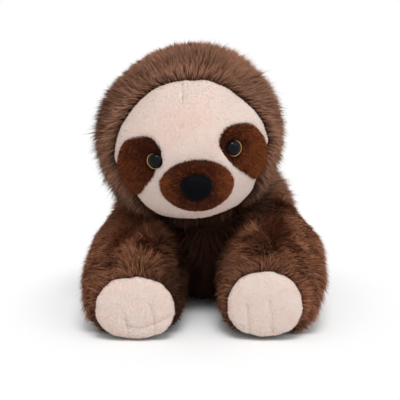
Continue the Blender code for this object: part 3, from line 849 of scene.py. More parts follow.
def blade_object():
    """One strand of pile, bent towards +X: a strip that narrows to a point."""
    rows = ((0.0, 0.0, 0.5), (0.55, 0.30, 0.40), (1.0, 1.0, 0.0))
    verts, along, side = [], [], []
    for height, bend, half in rows:
        for sign in ((-1, 1) if half else (0,)):
            verts.append((bend, sign * half, height))
            along.append(height)
            side.append(sign)
    mesh = bpy.data.meshes.new("blade")
    mesh.from_pydata(verts, [], [(0, 2, 3, 1), (2, 4, 3)])
    set_attribute(mesh, "along", "FLOAT", along)
    set_attribute(mesh, "side", "FLOAT", side)
    return linked("blade", mesh)


def pile_tree(blade):
    """Geometry Nodes that grow strands on a skin, combed along its attribute and gathered in locks."""
    tree = bpy.data.node_groups.new("Pile", "GeometryNodeTree")
    for kind, names in PILE_INPUTS.items():
        for name in names:
            tree.interface.new_socket(name=name, in_out="INPUT", socket_type="NodeSocket" + kind)
    tree.interface.new_socket(name="Pile", in_out="OUTPUT", socket_type="NodeSocketGeometry")
    nodes = Nodes(tree)
    group = tree.nodes.new("NodeGroupInput")
    given = {socket.name: Term(nodes, socket) for socket in group.outputs if socket.name}

    def attribute(name, kind="FLOAT"):
        """An attribute of the skin or the strand."""
        return nodes.add("GeometryNodeInputNamedAttribute", {"data_type": kind}, {"Name": name}, "Attribute")

    def chance(low, high, draw):
        """A random number, one for each strand and draw."""
        return nodes.add("FunctionNodeRandomValue", {"data_type": "FLOAT"}, {
            "Min": low, "Max": high, "Seed": given["Seed"] + draw}, "Value")

    spread = tree.nodes.new("GeometryNodeDistributePointsOnFaces")
    nodes.feed(spread.inputs["Mesh"], given["Skin"])
    nodes.feed(socket_of(spread.inputs, "Density"), given["Density"] * attribute("cover").clamped())
    nodes.feed(spread.inputs["Seed"], given["Seed"])
    points = Term(nodes, spread.outputs["Points"])
    normal = Term(nodes, spread.outputs["Normal"])

    place = nodes.add("GeometryNodeInputPosition")
    comb = attribute("comb", "FLOAT_VECTOR")
    lock = nodes.add("ShaderNodeTexVoronoi", {"voronoi_dimensions": "3D", "feature": "F1"}, {
        "Vector": place, "Scale": 1.0 / given["Lock Size"]}, "Position")
    lock_draws = Term(nodes, lock.socket.node.outputs["Color"])
    lock_tint, lock_length = nodes.part(lock_draws, "X"), nodes.part(lock_draws, "Y")
    gather = nodes.vector("SUBTRACT", lock, place)
    gather = nodes.vector("SUBTRACT", gather, nodes.scaled(
        normal, nodes.vector("DOT_PRODUCT", gather, normal, output="Value")))
    gather = nodes.scaled(gather, given["Lock Pull"] / given["Lock Size"])
    waves = nodes.add("ShaderNodeTexNoise", None, {"Vector": place, "Scale": 55.0, "Detail": 2.0}, "Color")
    waves = nodes.scaled(nodes.vector("SUBTRACT", waves, (0.5, 0.5, 0.5)), given["Ruffle"])
    stray = nodes.add("FunctionNodeRandomValue", {"data_type": "FLOAT_VECTOR"}, {
        "Min": (-1.0, -1.0, -1.0), "Max": (1.0, 1.0, 1.0), "Seed": given["Seed"] + 1}, "Value")
    stray = nodes.scaled(stray, given["Scatter"])
    leaning = nodes.scaled(comb, given["Lean"])
    growth = nodes.vector("NORMALIZE", nodes.sum(normal, leaning, gather, waves, stray))

    turn = nodes.add("FunctionNodeAlignRotationToVector", {"axis": "Z"}, {"Vector": growth})
    turn = nodes.add("FunctionNodeAlignRotationToVector", {"axis": "X", "pivot_axis": "Z"}, {
        "Rotation": turn, "Vector": nodes.sum(comb, nodes.scaled(waves, 1.5))})
    twist = nodes.add("FunctionNodeAxisAngleToRotation", None, {
        "Axis": (0.0, 0.0, 1.0), "Angle": chance(-0.8, 0.8, 2)})
    turn = nodes.add("FunctionNodeRotateRotation", {"rotation_space": "LOCAL"}, {
        "Rotation": turn, "Rotate By": twist})
    stray_length = chance(0.0, 1.0, 6) ** 6.0 * 0.30
    length = given["Length"] * attribute("pile") * (chance(0.58, 1.10, 3) + stray_length)
    length = length * ((lock_length - 0.5) * given["Lock Growth"] + 1.0)
    width = given["Width"] * chance(0.7, 1.3, 4)
    size = nodes.joined(length * given["Bend"], width, length)

    tint = attribute("tint") + given["Tint Spread"] * chance(-1.0, 1.0, 5)
    tint = tint + given["Lock Spread"] * (lock_tint - 0.5)
    points = nodes.add("GeometryNodeStoreNamedAttribute", {"data_type": "FLOAT", "domain": "POINT"}, {
        "Geometry": points, "Name": "shade", "Value": tint})
    strand = nodes.add("GeometryNodeObjectInfo", None, {"Object": blade}, "Geometry")
    grown = nodes.add("GeometryNodeInstanceOnPoints", None, {
        "Points": points, "Instance": strand, "Rotation": turn, "Scale": size})
    grown = nodes.add("GeometryNodeRealizeInstances", None, {"Geometry": grown})

    along = attribute("along")
    across = attribute("shade").clamped() * 0.96 + attribute("side") * 0.006 + 0.02
    chart = nodes.joined(across, along * 0.96 + 0.02)
    grown = nodes.add("GeometryNodeStoreNamedAttribute", {"data_type": "FLOAT2", "domain": "CORNER"}, {
        "Geometry": grown, "Name": "OFBake", "Value": chart})
    spot = nodes.add("GeometryNodeInputPosition")
    x, y, z = (nodes.part(spot, axis) for axis in "XYZ")
    lifted = nodes.joined(x, y, z.at_least(along * 0.0006))
    grown = nodes.add("GeometryNodeSetPosition", None, {"Geometry": grown, "Position": lifted})
    grown = nodes.add("GeometryNodeSetMaterial", None, {"Geometry": grown, "Material": given["Material"]})
    end = tree.nodes.new("NodeGroupOutput")
    nodes.feed(end.inputs["Pile"], grown)
    return tree


def area(mesh):
    """Area that the pile covers, by the skin's own cover attribute."""
    cover = np.empty(len(mesh.vertices), dtype=np.float32)
    mesh.attributes["cover"].data.foreach_get("value", cover)
    cover = np.clip(cover, 0.0, 1.0)
    return sum(face.area * cover[list(face.vertices)].mean() for face in mesh.polygons)


def grow(name, skin, material, strands, body, slot, **sizes):
    """Grow one layer of pile on a skin and keep it as a plain mesh of its own."""
    blade = blade_object()
    tree = pile_tree(blade)
    holder = linked("holder", skin)
    pile = holder.modifiers.new("Pile", "NODES")
    pile.node_group = tree
    values = {key.replace("_", " ").title(): value for key, value in sizes.items()}
    values.update({"Density": strands / area(skin), "Material": material})
    for socket in tree.interface.items_tree:
        if socket.in_out == "INPUT" and socket.name in values:
            pile[socket.identifier] = values[socket.name]
    mesh = plain(holder)
    bpy.data.objects.remove(blade)
    bpy.data.node_groups.remove(tree)
    for spare in ("along", "side", "shade", "cover", "pile", "tint", "comb"):
        if spare in mesh.attributes:
            mesh.attributes.remove(mesh.attributes[spare])
    mesh.shade_smooth()
    return add_piece(name, mesh, body, slot)


def grow_short(sizes, name, mesh, strands, kind, body="head"):
    """Grow the rust pile or the pale nap on a sewn panel."""
    pile, colours = sizes.pile, sizes.colours
    if kind == "rust pile":
        looks = (Vector(colours.rust_dark) * BACKING_PAINTED_SHADE, colours.rust_dark, colours.rust_light)
        length, slot, seed = pile.rust_length, "rust_short_pile", pile.seed + 7
    else:
        looks = (Vector(colours.blush) * 0.85, colours.blush, colours.cream, 0.9, 0.05)
        length, slot, seed = pile.cream_length, "cream_short_pile", pile.seed + 9
    material = bpy.data.materials.get(kind) or pile_finish(kind, *looks)
    grow(name, mesh, material, strands, body, slot, length=length, seed=seed, **SHORT_STANCES[kind])


def tangent(vectors, normals):
    """The part of each vector that lies along the surface."""
    return vectors - normals * np.sum(vectors * normals, axis=1, keepdims=True)


def unit(vectors):
    """Vectors of length 1, or none."""
    return vectors / np.maximum(np.linalg.norm(vectors, axis=1, keepdims=True), 1e-9)


def clouds(places, size, seed):
    """Smooth noise from -1 to 1 over a size, from a few waves."""
    rng = np.random.default_rng(seed)
    total = np.zeros(len(places))
    for _ in range(9):
        wave = rng.normal(size=3) / size * 2.2
        total += np.sin(places @ wave + rng.uniform(0, 2 * pi))
    return total / 3.2


def limb_pad(name):
    """A pad's middle height, half sizes and reach, in its limb's frame."""
    places = np.array([tuple(vertex.co) for vertex in frame["nodes"][name + "_pad"].data.vertices])
    places = local(limb_frame(name), places)
    low, high = places.min(axis=0), places.max(axis=0)
    half = (high - low) / 2
    wide, tall = PAD_STRETCH_SHARES.get(name, (1.0, 1.0))
    return (high[2] + low[2]) / 2 - PAD_DROPS.get(name, 0.0), half[0] * wide, half[2] * tall, -low[1]


def pad_outline(name):
    """Oval outline of a pad in its limb's XZ."""
    height, half_width, half_height, _ = limb_pad(name)
    turns = np.arange(PAD_POINTS) / PAD_POINTS * 2 * pi
    across, up = np.cos(turns), np.sin(turns)
    across = np.sign(across) * np.abs(across) ** PAD_SQUARENESS * half_width
    up = np.sign(up) * np.abs(up) ** PAD_SQUARENESS * half_height
    across, up = across * (1 - PAD_TAPER * up / half_height), up + height
    return wavy(np.stack([across, up], axis=1), 0.00040, SEEDS["pad"])


def edge_length(edge):
    """Length of long pile by its distance to a sewn edge, as a share."""
    return EDGE_LENGTH_SHARE + (1 - EDGE_LENGTH_SHARE) * step(edge, 0.0, EDGE_WIDTH)


def neck_fill(places, spread):
    """1 in the hollow between the head and the right shoulder, fading over a distance."""
    return bell(np.linalg.norm(places - NECK_FILL, axis=1), spread)


def head_coat(places, normals):
    """How the pile on the head lies: comb, lean, length, cover, tint, and the lift of the skin."""
    spots = local(head_frame(), places)
    axis = np.array(head_frame())[:3, 1]
    from_middle = from_head(places)
    out = unit(from_middle - np.outer(from_middle @ axis, axis))
    front = step(-spots[:, 1], -0.02, 0.05)[:, None]
    edge = -edge_distance(spots[:, [0, 2]], mask_outline())
    edge = np.where(spots[:, 1] < 0.0, edge, np.maximum(edge, 0.05))
    seam = 1 - step(edge, 0.0, 0.006)
    comb = out * front * (1 - 0.9 * seam[:, None]) + axis * (0.60 - 0.30 * front)
    comb += DOWN * (0.20 + 0.6 * (1 - front))
    length = edge_length(edge)
    outwards = unit(from_middle)
    for direction, width, change in HEAD_TUFTS:
        turn = np.arccos(np.clip(outwards @ np.array(Vector(direction).normalized()), -1.0, 1.0))
        length *= 1.0 + change * bell(turn, width)
    lift = HEAD_SEAM_LIFT * (1 - step(edge, 0.0, 0.014))
    low = step(-spots[:, 2], 0.010, 0.050)
    right = step(-spots[:, 0], 0.030, 0.062) * step(edge, 0.0, 0.010)
    chin = step(-places[:, 2], -0.130, -0.104) * step(-places[:, 1], -0.02, 0.03) * bell(places[:, 0], 0.060)
    # Painted light and shade: the pile is lighter along the face's seam, over the shade in its groove, and
    # darker on the head's lower half, on its right side away from the light, and most under the chin
    tint = 0.42 + 0.08 * clouds(places, 0.02, SEEDS["head"]) + 0.25 * seam
    tint -= 0.14 * low + 0.25 * right + 0.55 * chin
    return comb, 0.50, length, (edge + OVERLAPS["head"]) / COVER_FADE, tint, lift


def limb_coat(name):
    """The same for one limb: combed down its sides, round its pad, and back along the floor."""
    side = side_of(name)
    matrix = limb_frame(name)
    across, back = np.array(matrix)[:3, 0], np.array(matrix)[:3, 1]
    height, _, _, reach = limb_pad(name)
    outline = pad_outline(name)

    def coat(places, normals):
        spots = local(matrix, places)
        edge = -edge_distance(spots[:, [0, 2]], outline)
        edge = np.where(-spots[:, 1] > reach - 0.02, edge, np.maximum(edge, 0.03))
        near = (1 - step(edge, 0.004, 0.034))[:, None]
        seam = 1 - step(edge, 0.0, 0.004)
        raised = step(places[:, 2], 0.006, 0.036)[:, None]
        outer = step(side * spots[:, 0], 0.012, 0.036)
        inner = step(-side * spots[:, 0], 0.006, 0.030)
        shoulder = bell(spots[:, 2] - SHOULDER_HEIGHT, 0.024) * step(side * spots[:, 0], 0.0, 0.030)
        squashed = (1 - step(places[:, 2], 0.006, 0.034)) * step(np.abs(spots[:, 0]), 0.008, 0.026)
        bulge = ARM_BULGES.get(name, 0.0) * outer * bell(spots[:, 2] - BULGE_HEIGHT, 0.016)

        parting = np.clip(spots[:, 0] / 0.040 + 0.25 * side, -1.0, 1.0)[:, None]
        around = unit(np.outer(spots[:, 0], across) - np.outer(spots[:, 2] - height, DOWN))
        swirl = np.stack([clouds(places, 0.013, seed) for seed in SEEDS["swirl"]], axis=1)
        comb = (DOWN * 0.80 - back * 0.25) * (1 - near) + across * parting * 0.30 + around * near * 0.55
        calm = np.linalg.norm(tangent(comb, normals), axis=1)[:, None]
        comb = (comb + swirl * (0.30 + 0.60 * np.exp(-calm ** 2 / 0.10))) * (1 - 0.9 * seam[:, None])
        comb = comb * raised + (back * 0.80 + across * parting * 0.20) * (1 - raised)
        lean = 0.62 + 0.26 * (1 - raised)

        length = edge_length(edge) * (1 + BULGE_GROWTH * bulge - 0.62 * shoulder)
        length *= 1 + NECK_GROWTH.get(name, 0.0) * neck_fill(places, 0.018)
        length *= (0.24 + 0.76 * step(places[:, 2], 0.002, 0.024)) * (0.76 - 0.20 * inner)

        lift = LIMB_LIFTS["seam"] * (1 - step(edge, 0.0, 0.012)) + LIMB_LIFTS["shoulder"] * shoulder
        lift += LIMB_LIFTS["squashed"] * squashed * step(edge, 0.0, 0.006)
        lift += (LIMB_LIFTS["all"] + LIMB_LIFTS["inner"] * inner + bulge) * step(edge, 0.0, 0.010)

        parts = {
            "outer": outer, "inner": inner, "seam": seam, "high": step(spots[:, 2], 0.040, 0.070),
            "round the pad": bell(edge - 0.014, 0.014) * step(spots[:, 2], 0.010, 0.030)}
        # Painted shade on the inner side, and painted light along the pad's seam
        tint = LIMB_TINTS[side]["all"] + 0.10 * clouds(places, 0.02, SEEDS["limb"])
        for part, share in parts.items():
            tint += LIMB_TINTS[side][part] * share
        return comb, lean, length, (edge + OVERLAPS["limb"]) / COVER_FADE, tint, lift
    return coat


def torso_coat(places, normals):
    """The same for the torso."""
    high = step(places[:, 2], 0.004, 0.040)
    chest = step(-places[:, 1], -0.01, 0.04) * bell(places[:, 0], 0.045) * step(-places[:, 2], -0.13, -0.08)
    comb = BACK * 0.55 + DOWN * (0.75 * high)[:, None]
    length = (1 + 0.80 * chest + 0.60 * neck_fill(places, 0.030)) * (1 - 0.60 * (1 - high))
    # Painted shade: the chest, between the arms and under the head, is darkened
    tint = (0.48 + 0.10 * clouds(places, 0.02, SEEDS["torso"])) * (1 - chest) - 0.50 * chest
    return comb, 0.80, length, FULL_COVER, tint, CHEST_LIFT * chest * (1 - high)


def comb_skin(mesh, coat, others, reach):
    """Write a coat on a skin, shorter and thinner where another body or the floor is close."""
    places, normals = vertices(mesh)
    comb, lean, length, cover, tint, lift = coat(places, normals)
    gaps = np.full(len(places), 1.0)
    for tree in others:
        for index, (place, normal) in enumerate(zip(places, normals)):
            hit = tree.ray_cast(Vector(place), Vector(normal), GAP_SEARCH)[3]
            if hit is not None:
                gaps[index] = min(gaps[index], hit)
    facing = np.maximum(-normals[:, 2], UNDERSIDE)
    floor = np.where(normals[:, 2] < -UNDERSIDE, places[:, 2] / facing, 1.0)
    for gap, least in ((gaps, LEAST_LENGTHS["body"]), (floor, LEAST_LENGTHS["floor"])):
        length = length * np.clip(gap / reach, least, 1.0)
    crowded = np.minimum(gaps, floor) < reach * CROWDED_SHARE
    cover = np.minimum(cover, np.where(crowded, CROWDED_COVER, FULL_COVER))
    write_coat(mesh, normals, comb, length, cover, tint, lean)
    places = places + normals * lift[:, None]
    places[:, 2] = np.maximum(places[:, 2], FLOOR_CLEARANCE)
    mesh.vertices.foreach_set("co", places.astype(np.float32).ravel())
    mesh.update()


class Piece(Operator):
    """One group of the toy's pieces."""

    bl_options = {"REGISTER", "UNDO"}

    @property
    def sizes(self):
        """The sizes and colours that the panel shows."""
        return bpy.context.scene.sloth


class SLOTH_OT_long_pile(Piece):
    """Skins of the torso, the head and the limbs, and the brown pile on them"""

    bl_idname = "sloth.long_pile"
    bl_label = "Long pile"

    def execute(self, context):
        pile = self.sizes.pile
        colours = self.sizes.colours
        backing = skin_finish("brown backing", colours.brown_root)
        finishes = {}
        for kind, light in (("brown", colours.brown_light), ("warm brown", colours.brown_warm)):
            # The undercoat is a darker copy of the long pile: painted shade under the long strands
            darker = Vector(light) * UNDERCOAT_PAINTED_SHADE
            finishes[kind] = [
                pile_finish(name, colours.brown_root, colours.brown_dark, tips)
                for name, tips in ((f"long {kind} pile", light), (f"{kind} undercoat", darker))]
        coats = {"head": head_coat, "torso": torso_coat, **{name: limb_coat(name) for name in LIMBS}}
        skins = {
            body: mesh_of(skin_mesh(nodes, pile.skin_depth, SKIN_SPACING, SKIN_ROUNDS), backing)
            for body, nodes in SKINS.items()}
        trees = {}
        for body, skin in skins.items():
            places = [vertex.co for vertex in skin.vertices]
            trees[body] = BVHTree.FromPolygons(places, [face.vertices for face in skin.polygons])
        for number, (body, skin) in enumerate(skins.items()):
            others = [trees[name] for name in trees if name != body]
            comb_skin(skin, coats[body], others, pile.long_length)
            kind = body.split("_")[-1]
            strands = pile.strands * STRAND_SHARES[kind]
            long, under = finishes["brown" if body in ("head", "torso") else "warm brown"]
            for layer, material, share, length, width, lean in (
                    ("pile", long, 1.0, pile.long_length, pile.long_width, 1.0),
                    ("undercoat", under, UNDERCOAT_SHARE, pile.under_length, pile.under_width, 0.8)):
                grow(
                    body + "_" + layer, skin, material, strands * share, body, "brown_long_pile",
                    length=length, width=width, lean=lean, lock_size=pile.lock_size * LOCK_SHARES[kind],
                    seed=pile.seed + number * 20, **LONG_STANCE)
            covered = [node for node in SKINS[body] if not node.endswith(("_pad", "_panel", "_patch"))]
            piece = add_piece(body + "_skin", skin, body, "brown_long_pile", *covered)
        return {"FINISHED"}


class SLOTH_OT_face(Piece):
    """Pale face panel and the two eye patches, sewn into the head"""

    bl_idname = "sloth.face"
    bl_label = "Face"

    def execute(self, context):
        colours = self.sizes.colours
        weave = self.sizes.face.weave
        velour = velour_finish("pale velour", colours.cream, colours.blush)
        rust = skin_finish("rust backing", Vector(colours.rust_dark) * BACKING_PAINTED_SHADE)
        outline = mask_outline()
        bm = panel(outline, weave, self.front(self.mask_lift), self.back(self.mask_lift))
        mask = add_piece("face", mesh_of(bm, velour), "head", "cream_short_pile", "face_panel")
        self.grow_face_nap(mask, outline)
        for side, name in SIDES.items():
            lift = self.patch_lift(side)
            outline = patch_outline(side)
            wider = outline + unit(outline - outline.mean(axis=0)) * PATCH_WIDENING
            bm = panel(wider, weave, self.front(lift), self.back(lift))
            node = name + "_eye_patch"
            patch = add_piece(name + "_patch", mesh_of(bm, rust), "head", "rust_short_pile", node)
            self.grow_patch_pile(patch, outline, side)
        return {"FINISHED"}

    def grow_face_nap(self, mask, outline):
        """Nap of the pale face, brushed downwards and clear of the patches and the muzzle."""
        mesh = mask.data.copy()
        places, normals = vertices(mesh)
        flat = local(head_frame(), places)[:, [0, 2]]
        free = (facing_out(places, normals) > 0.1) & (edge_distance(flat, outline) > 0.0003)
        for side in SIDES:
            free &= edge_distance(flat, patch_outline(side)) < -0.0005
        half_width = muzzle_half_width()
        half_sizes = (half_width, half_width * MUZZLE_HEIGHT_SHARES["solid"])
        on_muzzle = local(muzzle_frame(), places)[:, [0, 2]] / half_sizes
        free &= np.linalg.norm(on_muzzle, axis=1) > MUZZLE_HOLE_SHARE
        comb = np.array(head_frame())[:3, :3] @ DOWN
        warm = bell(np.linalg.norm(flat - np.array(WARM_SPOT_SHARES) * head_radius(), axis=1), 0.014)
        tint = 0.5 + 0.18 * clouds(places, 0.020, SEEDS["face nap"]) - 0.45 * warm
        # Painted light and shade: the nap is lighter on the head's left side, towards the light, and darker
        # at the chin, where shade falls
        tint += 0.30 * step(flat[:, 0], 0.010, 0.040) - 0.40 * step(-flat[:, 1], 0.052, 0.066)
        write_coat(mesh, normals, comb, 1.0, free, tint)
        grow_short(self.sizes, "face_nap", mesh, NAP_STRANDS["face"], "pale nap")

    def front(self, lift):
        """Places on the head's ball, lifted by a function of place and distance to the edge."""
        def place(flat, distance):
            radius = head_radius()
            depth = -np.sqrt(radius ** 2 - np.sum(flat ** 2, axis=1))
            spots = np.stack([flat[:, 0], depth, flat[:, 1]], axis=1)
            spots *= (1 + lift(flat, distance) / radius)[:, None]
            return world(head_frame(), spots)
        return place

    def back(self, lift):
        """The same places one cloth further in."""
        cloth = self.sizes.face.cloth
        return self.front(lambda flat, distance: lift(flat, distance) - cloth)

    def mask_lift(self, flat, distance):
        """Relief of the pale face: crowned, with its darts and the seams of the patches."""
        face = self.sizes.face
        lift = face.crown * (1 - np.exp(-distance / 0.006))
        lift -= face.seam_depth * np.exp(-distance / face.seam_width)
        for shares in (FOREHEAD_DART_SHARES, CHIN_SEAM_SHARES):
            dart = path_distance(flat, np.array(shares) * head_radius())
            lift -= face.dart_depth * bell(dart, face.dart_width)
        for side in SIDES:
            edge = edge_distance(flat, patch_outline(side))
            dip = face.crown * 0.7 * bell(edge, face.seam_width * 1.4)
            lift -= dip + face.patch_sink * step(edge, 0.0, 0.0020)
        return lift

    def patch_lift(self, side):
        """Relief of one eye patch: crowned, and drawn in under the eye."""
        def lift(flat, distance):
            face = self.sizes.face
            drawn = 0.0016 * bell(np.linalg.norm(flat - eye_middle(side), axis=1), 0.008)
            return face.crown + 0.0002 - (face.seam_depth + 0.0004) * np.exp(-distance / 0.0015) - drawn
        return lift

    def grow_patch_pile(self, patch, outline, side):
        """Short rust pile on a patch, combed outwards and down, lighter towards its lower end."""
        mesh = patch.data.copy()
        places, normals = vertices(mesh)
        head = head_frame()
        flat = local(head, places)[:, [0, 2]]
        eye = eye_middle(side)
        from_eye = np.linalg.norm(flat - eye, axis=1)
        edge = edge_distance(flat, outline)
        comb = np.array(head)[:3, :3] @ np.array((side * 0.7, 0.0, -0.8))
        comb = comb + unit(directions(head, flat - eye)) * 1.6 * bell(from_eye, 0.010)[:, None]
        outer = unit(directions(head, flat - outline.mean(axis=0)))
        comb = comb + outer * 0.9 * bell(edge, 0.003)[:, None]
        length = 0.55 + 0.45 * step(from_eye, 0.007, 0.013)
        free = (facing_out(places, normals) > 0.2) & (from_eye > EYE_HOLE_RADIUS)
        # Darker round the eye: painted shade in the dip under the eye
        tint = PATCH_TINTS[side]["all"] + PATCH_TINTS[side]["round the eye"] * bell(from_eye, 0.012)
        tint += 0.40 * step(side * flat[:, 0], 0.030, 0.056) + 0.16 * step(-flat[:, 1], 0.004, 0.036)
        tint += 0.08 * clouds(places, 0.006, SEEDS["patch pile"])
        write_coat(mesh, normals, comb, length, free, tint)
        grow_short(self.sizes, SIDES[side] + "_patch_pile", mesh, PATCH_STRANDS, "rust pile")


class SLOTH_OT_muzzle(Piece):
    """Rust muzzle and its pile"""

    bl_idname = "sloth.muzzle"
    bl_label = "Muzzle"

    def execute(self, context):
        half_width = muzzle_half_width() - MUZZLE_INSET
        half_sizes = (half_width, half_width, half_width * MUZZLE_HEIGHT_SHARES["dressed"])
        bm = bmesh.new()
        bmesh.ops.create_icosphere(bm, subdivisions=6, radius=1.0)
        for vertex in bm.verts:
            taper = MUZZLE_TAPERS["above" if vertex.co.z > 0 else "below"]
            vertex.co.x *= 1 + taper * vertex.co.z
            vertex.co = Vector(a * b for a, b in zip(vertex.co, half_sizes))
        aside = Matrix.Translation(MUZZLE_SHIFT) @ Matrix.Rotation(MUZZLE_ROLL, 4, "Y")
        bmesh.ops.transform(bm, matrix=muzzle_frame() @ aside, verts=bm.verts)
        backing = skin_finish("muzzle backing", Vector(self.sizes.colours.rust_dark) * BACKING_PAINTED_SHADE)
        mesh = mesh_of(bm, backing)
        self.grow_muzzle_pile(mesh.copy(), half_sizes)
        muzzle = add_piece("muzzle", mesh, "head", "rust_short_pile", "muzzle_cover", "muzzle_filling")
        return {"FINISHED"}

    def grow_muzzle_pile(self, mesh, half_sizes):
        """Rust pile combed away from the nose, with a parting below it, and lighter at the sides."""
        places, normals = vertices(mesh)
        flat = local(muzzle_frame(), places)[:, [0, 2]]
        drop = np.array(muzzle_frame())[:3, :3] @ np.array((0.0, 0.0, -0.25))
        comb = directions(muzzle_frame(), flat / (half_sizes[0], half_sizes[2])) + drop
        outside = np.linalg.norm(from_head(places), axis=1) > head_radius() - 0.001
        nose = np.linalg.norm(flat / NOSE_HOLE_SIZES + (0.0, NOSE_HOLE_DROP_SHARE), axis=1)
        parting = np.where(flat[:, 1] < -0.010, bell(flat[:, 0] + 0.0005, 0.0012), 0.0)
        sideways = step(np.abs(flat[:, 0]) / half_sizes[0], 0.35, 0.98)
        tint = 0.06 + 0.58 * sideways * (1 - 0.5 * step(flat[:, 1], 0.004, 0.018))
        tint += 0.06 * clouds(places, 0.006, SEEDS["muzzle pile"])
        length = 0.55 + 0.45 * step(nose, 1.0, 1.5)
        write_coat(mesh, normals, comb, length, outside * (nose > 0.94) * (1 - 0.8 * parting), tint)
        grow_short(self.sizes, "muzzle_pile", mesh, MUZZLE_STRANDS, "rust pile")


class SLOTH_OT_nose(Piece):
    """Flocked nose on the muzzle"""

    bl_idname = "sloth.nose"
    bl_label = "Nose"

    def execute(self, context):
        half_width = muzzle_half_width()
        rise = half_width * MUZZLE_HEIGHT_SHARES["solid"] * NOSE_RISE_SHARE
        tip = muzzle_frame() @ Matrix.Translation((NOSE_SHIFT, -half_width * NOSE_AHEAD_SHARE, rise))
        tip = tip @ Matrix.Rotation(MUZZLE_ROLL, 4, "Y")
        oval = tip @ Matrix.Rotation(pi / 2, 4, "X") @ Matrix.Diagonal((*NOSE_SIZES, 1.0))
        profile = [(0.0, -0.9), (0.90, -0.9), (0.99, -0.5)]
        profile += [(cos(turn) ** 0.75, sin(turn) ** 1.15) for turn in quarter_turns(0, 13)]
        profile.append((0.0, 1.0))
        mesh = mesh_of(turned(oval, profile), self.flock())
        for vertex in mesh.vertices:
            spot = tip.inverted() @ vertex.co
            spot.x *= 1.0 + NOSE_WIDENING * spot.z / NOSE_SIZES[1]
            vertex.co = tip @ spot
        add_piece("nose_fine", mesh, "head", "black_flocked_nose", "nose")
        return {"FINISHED"}

    def flock(self):
        """Matte black flock with faint lumps."""
        def build(nodes):
            flock = grain(nodes, 2600.0, 2.0)
            lumps = grain(nodes, 260.0, 2.0)
            shade = nodes.colour(flock, opaque(self.sizes.colours.black), (0.003, 0.003, 0.004, 1.0))
            return {"Base Color": shade, "Normal": bump(nodes, flock * 0.6 + lumps * 0.6, 0.0004)}
        return finish("black flock", 0.60, 0.03, build)


class SLOTH_OT_eyes(Piece):
    """Glossy eyes, each with a gold rim under it"""

    bl_idname = "sloth.eyes"
    bl_label = "Eyes"

    def execute(self, context):
        colours = self.sizes.colours
        metal = mottled("gold ring", 0.3, 0.5, 700.0, colours.gold, (0.55, 0.33, 0.10), metallic=1.0)
        gloss = mottled("black gloss", 0.02, 0.11, 500.0, colours.black, (0.005, 0.005, 0.007))
        profile = [(0.0, EYE_FOOT - 0.001), (EYE_RADIUS * 0.97, EYE_FOOT - 0.001), (EYE_RADIUS, EYE_FOOT)]
        for turn in quarter_turns(1, 15):
            profile.append((EYE_RADIUS * cos(turn), EYE_FOOT + EYE_DEPTH * sin(turn)))
        profile.append((0.0, EYE_FOOT + EYE_DEPTH))
        rim = []
        for roll in (2 * pi * index / RIM_SIDES for index in range(RIM_SIDES)):
            rim.append((RIM_RADIUS + RIM_THICKNESS * cos(roll), RIM_HEIGHT + RIM_THICKNESS * sin(roll)))
        for side, word in SIDES.items():
            name = word + "_eye"
            mesh = mesh_of(turned(eye_frame(side), profile), gloss)
            add_piece(name + "_dome", mesh, "head", "black_glossy_eye", name)
            aside = Vector((cos(RIM_ANGLES[side]), sin(RIM_ANGLES[side]), 0.0)) * RIM_SHIFT
            ring = turned(eye_frame(side) @ Matrix.Translation(aside), rim, closed=True)
            add_piece(name + "_ring", mesh_of(ring, metal), "head", "gold_rim", name + "_rim")
        return {"FINISHED"}


class SLOTH_OT_pads(Piece):
    """Pale sole pads on the four paws, with their sewn seams"""

    bl_idname = "sloth.pads"
    bl_label = "Sole pads"

    def execute(self, context):
        face, colours = self.sizes.face, self.sizes.colours
        velour = bpy.data.materials.get("pale velour") or velour_finish(
            "pale velour", colours.cream, colours.blush)
        for name in LIMBS:
            bm = panel(pad_outline(name), face.weave, self.front(name, 0.0), self.front(name, face.cloth * 2))
            pad = add_piece(name + "_sole", mesh_of(bm, velour), name, "cream_short_pile", name + "_pad")
            mesh = pad.data.copy()
            places, normals = vertices(mesh)
            facing = normals @ -np.array(limb_frame(name))[:3, 1] > 0.1
            tint = 0.5 + 0.18 * clouds(places, 0.014, SEEDS["pad nap"])
            write_coat(mesh, normals, DOWN, 1.0, facing, tint)
            grow_short(self.sizes, name + "_nap", mesh, NAP_STRANDS[name.split("_")[-1]], "pale nap", name)
        return {"FINISHED"}

    def front(self, name, inwards):
        """Places on a paw's front, plump and drawn in along its seams."""
        face = self.sizes.face
        height, half_width, half_height, reach = limb_pad(name)

        def place(flat, distance):
            shares = (flat - (0.0, height)) / (half_width, half_height)
            ahead = reach + PAD_PROUD - PAD_ROUNDING * np.sum(shares ** 2, axis=1)
            ahead -= PAD_SEAM_DEPTH * np.exp(-distance / PAD_SEAM_FADE)
            for seam in PAD_SEAM_SHARES[side_of(name)]:
                dart = path_distance(flat, np.array(seam) * (half_width, half_height) + (0.0, height))
                for width in (face.dart_width, face.dart_width * 4):
                    ahead -= 0.7 * face.dart_depth * bell(dart, width)
            return world(limb_frame(name), np.stack([flat[:, 0], inwards - ahead, flat[:, 1]], axis=1))
        return place


class SLOTH_OT_washers(Piece):
    """Finish of the locking washers inside the head"""

    bl_idname = "sloth.washers"
    bl_label = "Washers"

    def execute(self, context):
        material = mottled("white plastic", 0.45, 0.4, 300.0, (0.72, 0.72, 0.69), (0.80, 0.80, 0.77), 0.0002)
        for node in ("nose_washer", "left_eye_washer", "right_eye_washer"):
            mesh = frame["nodes"][node].data
            mesh.materials.clear()
            mesh.materials.append(material)
        return {"FINISHED"}


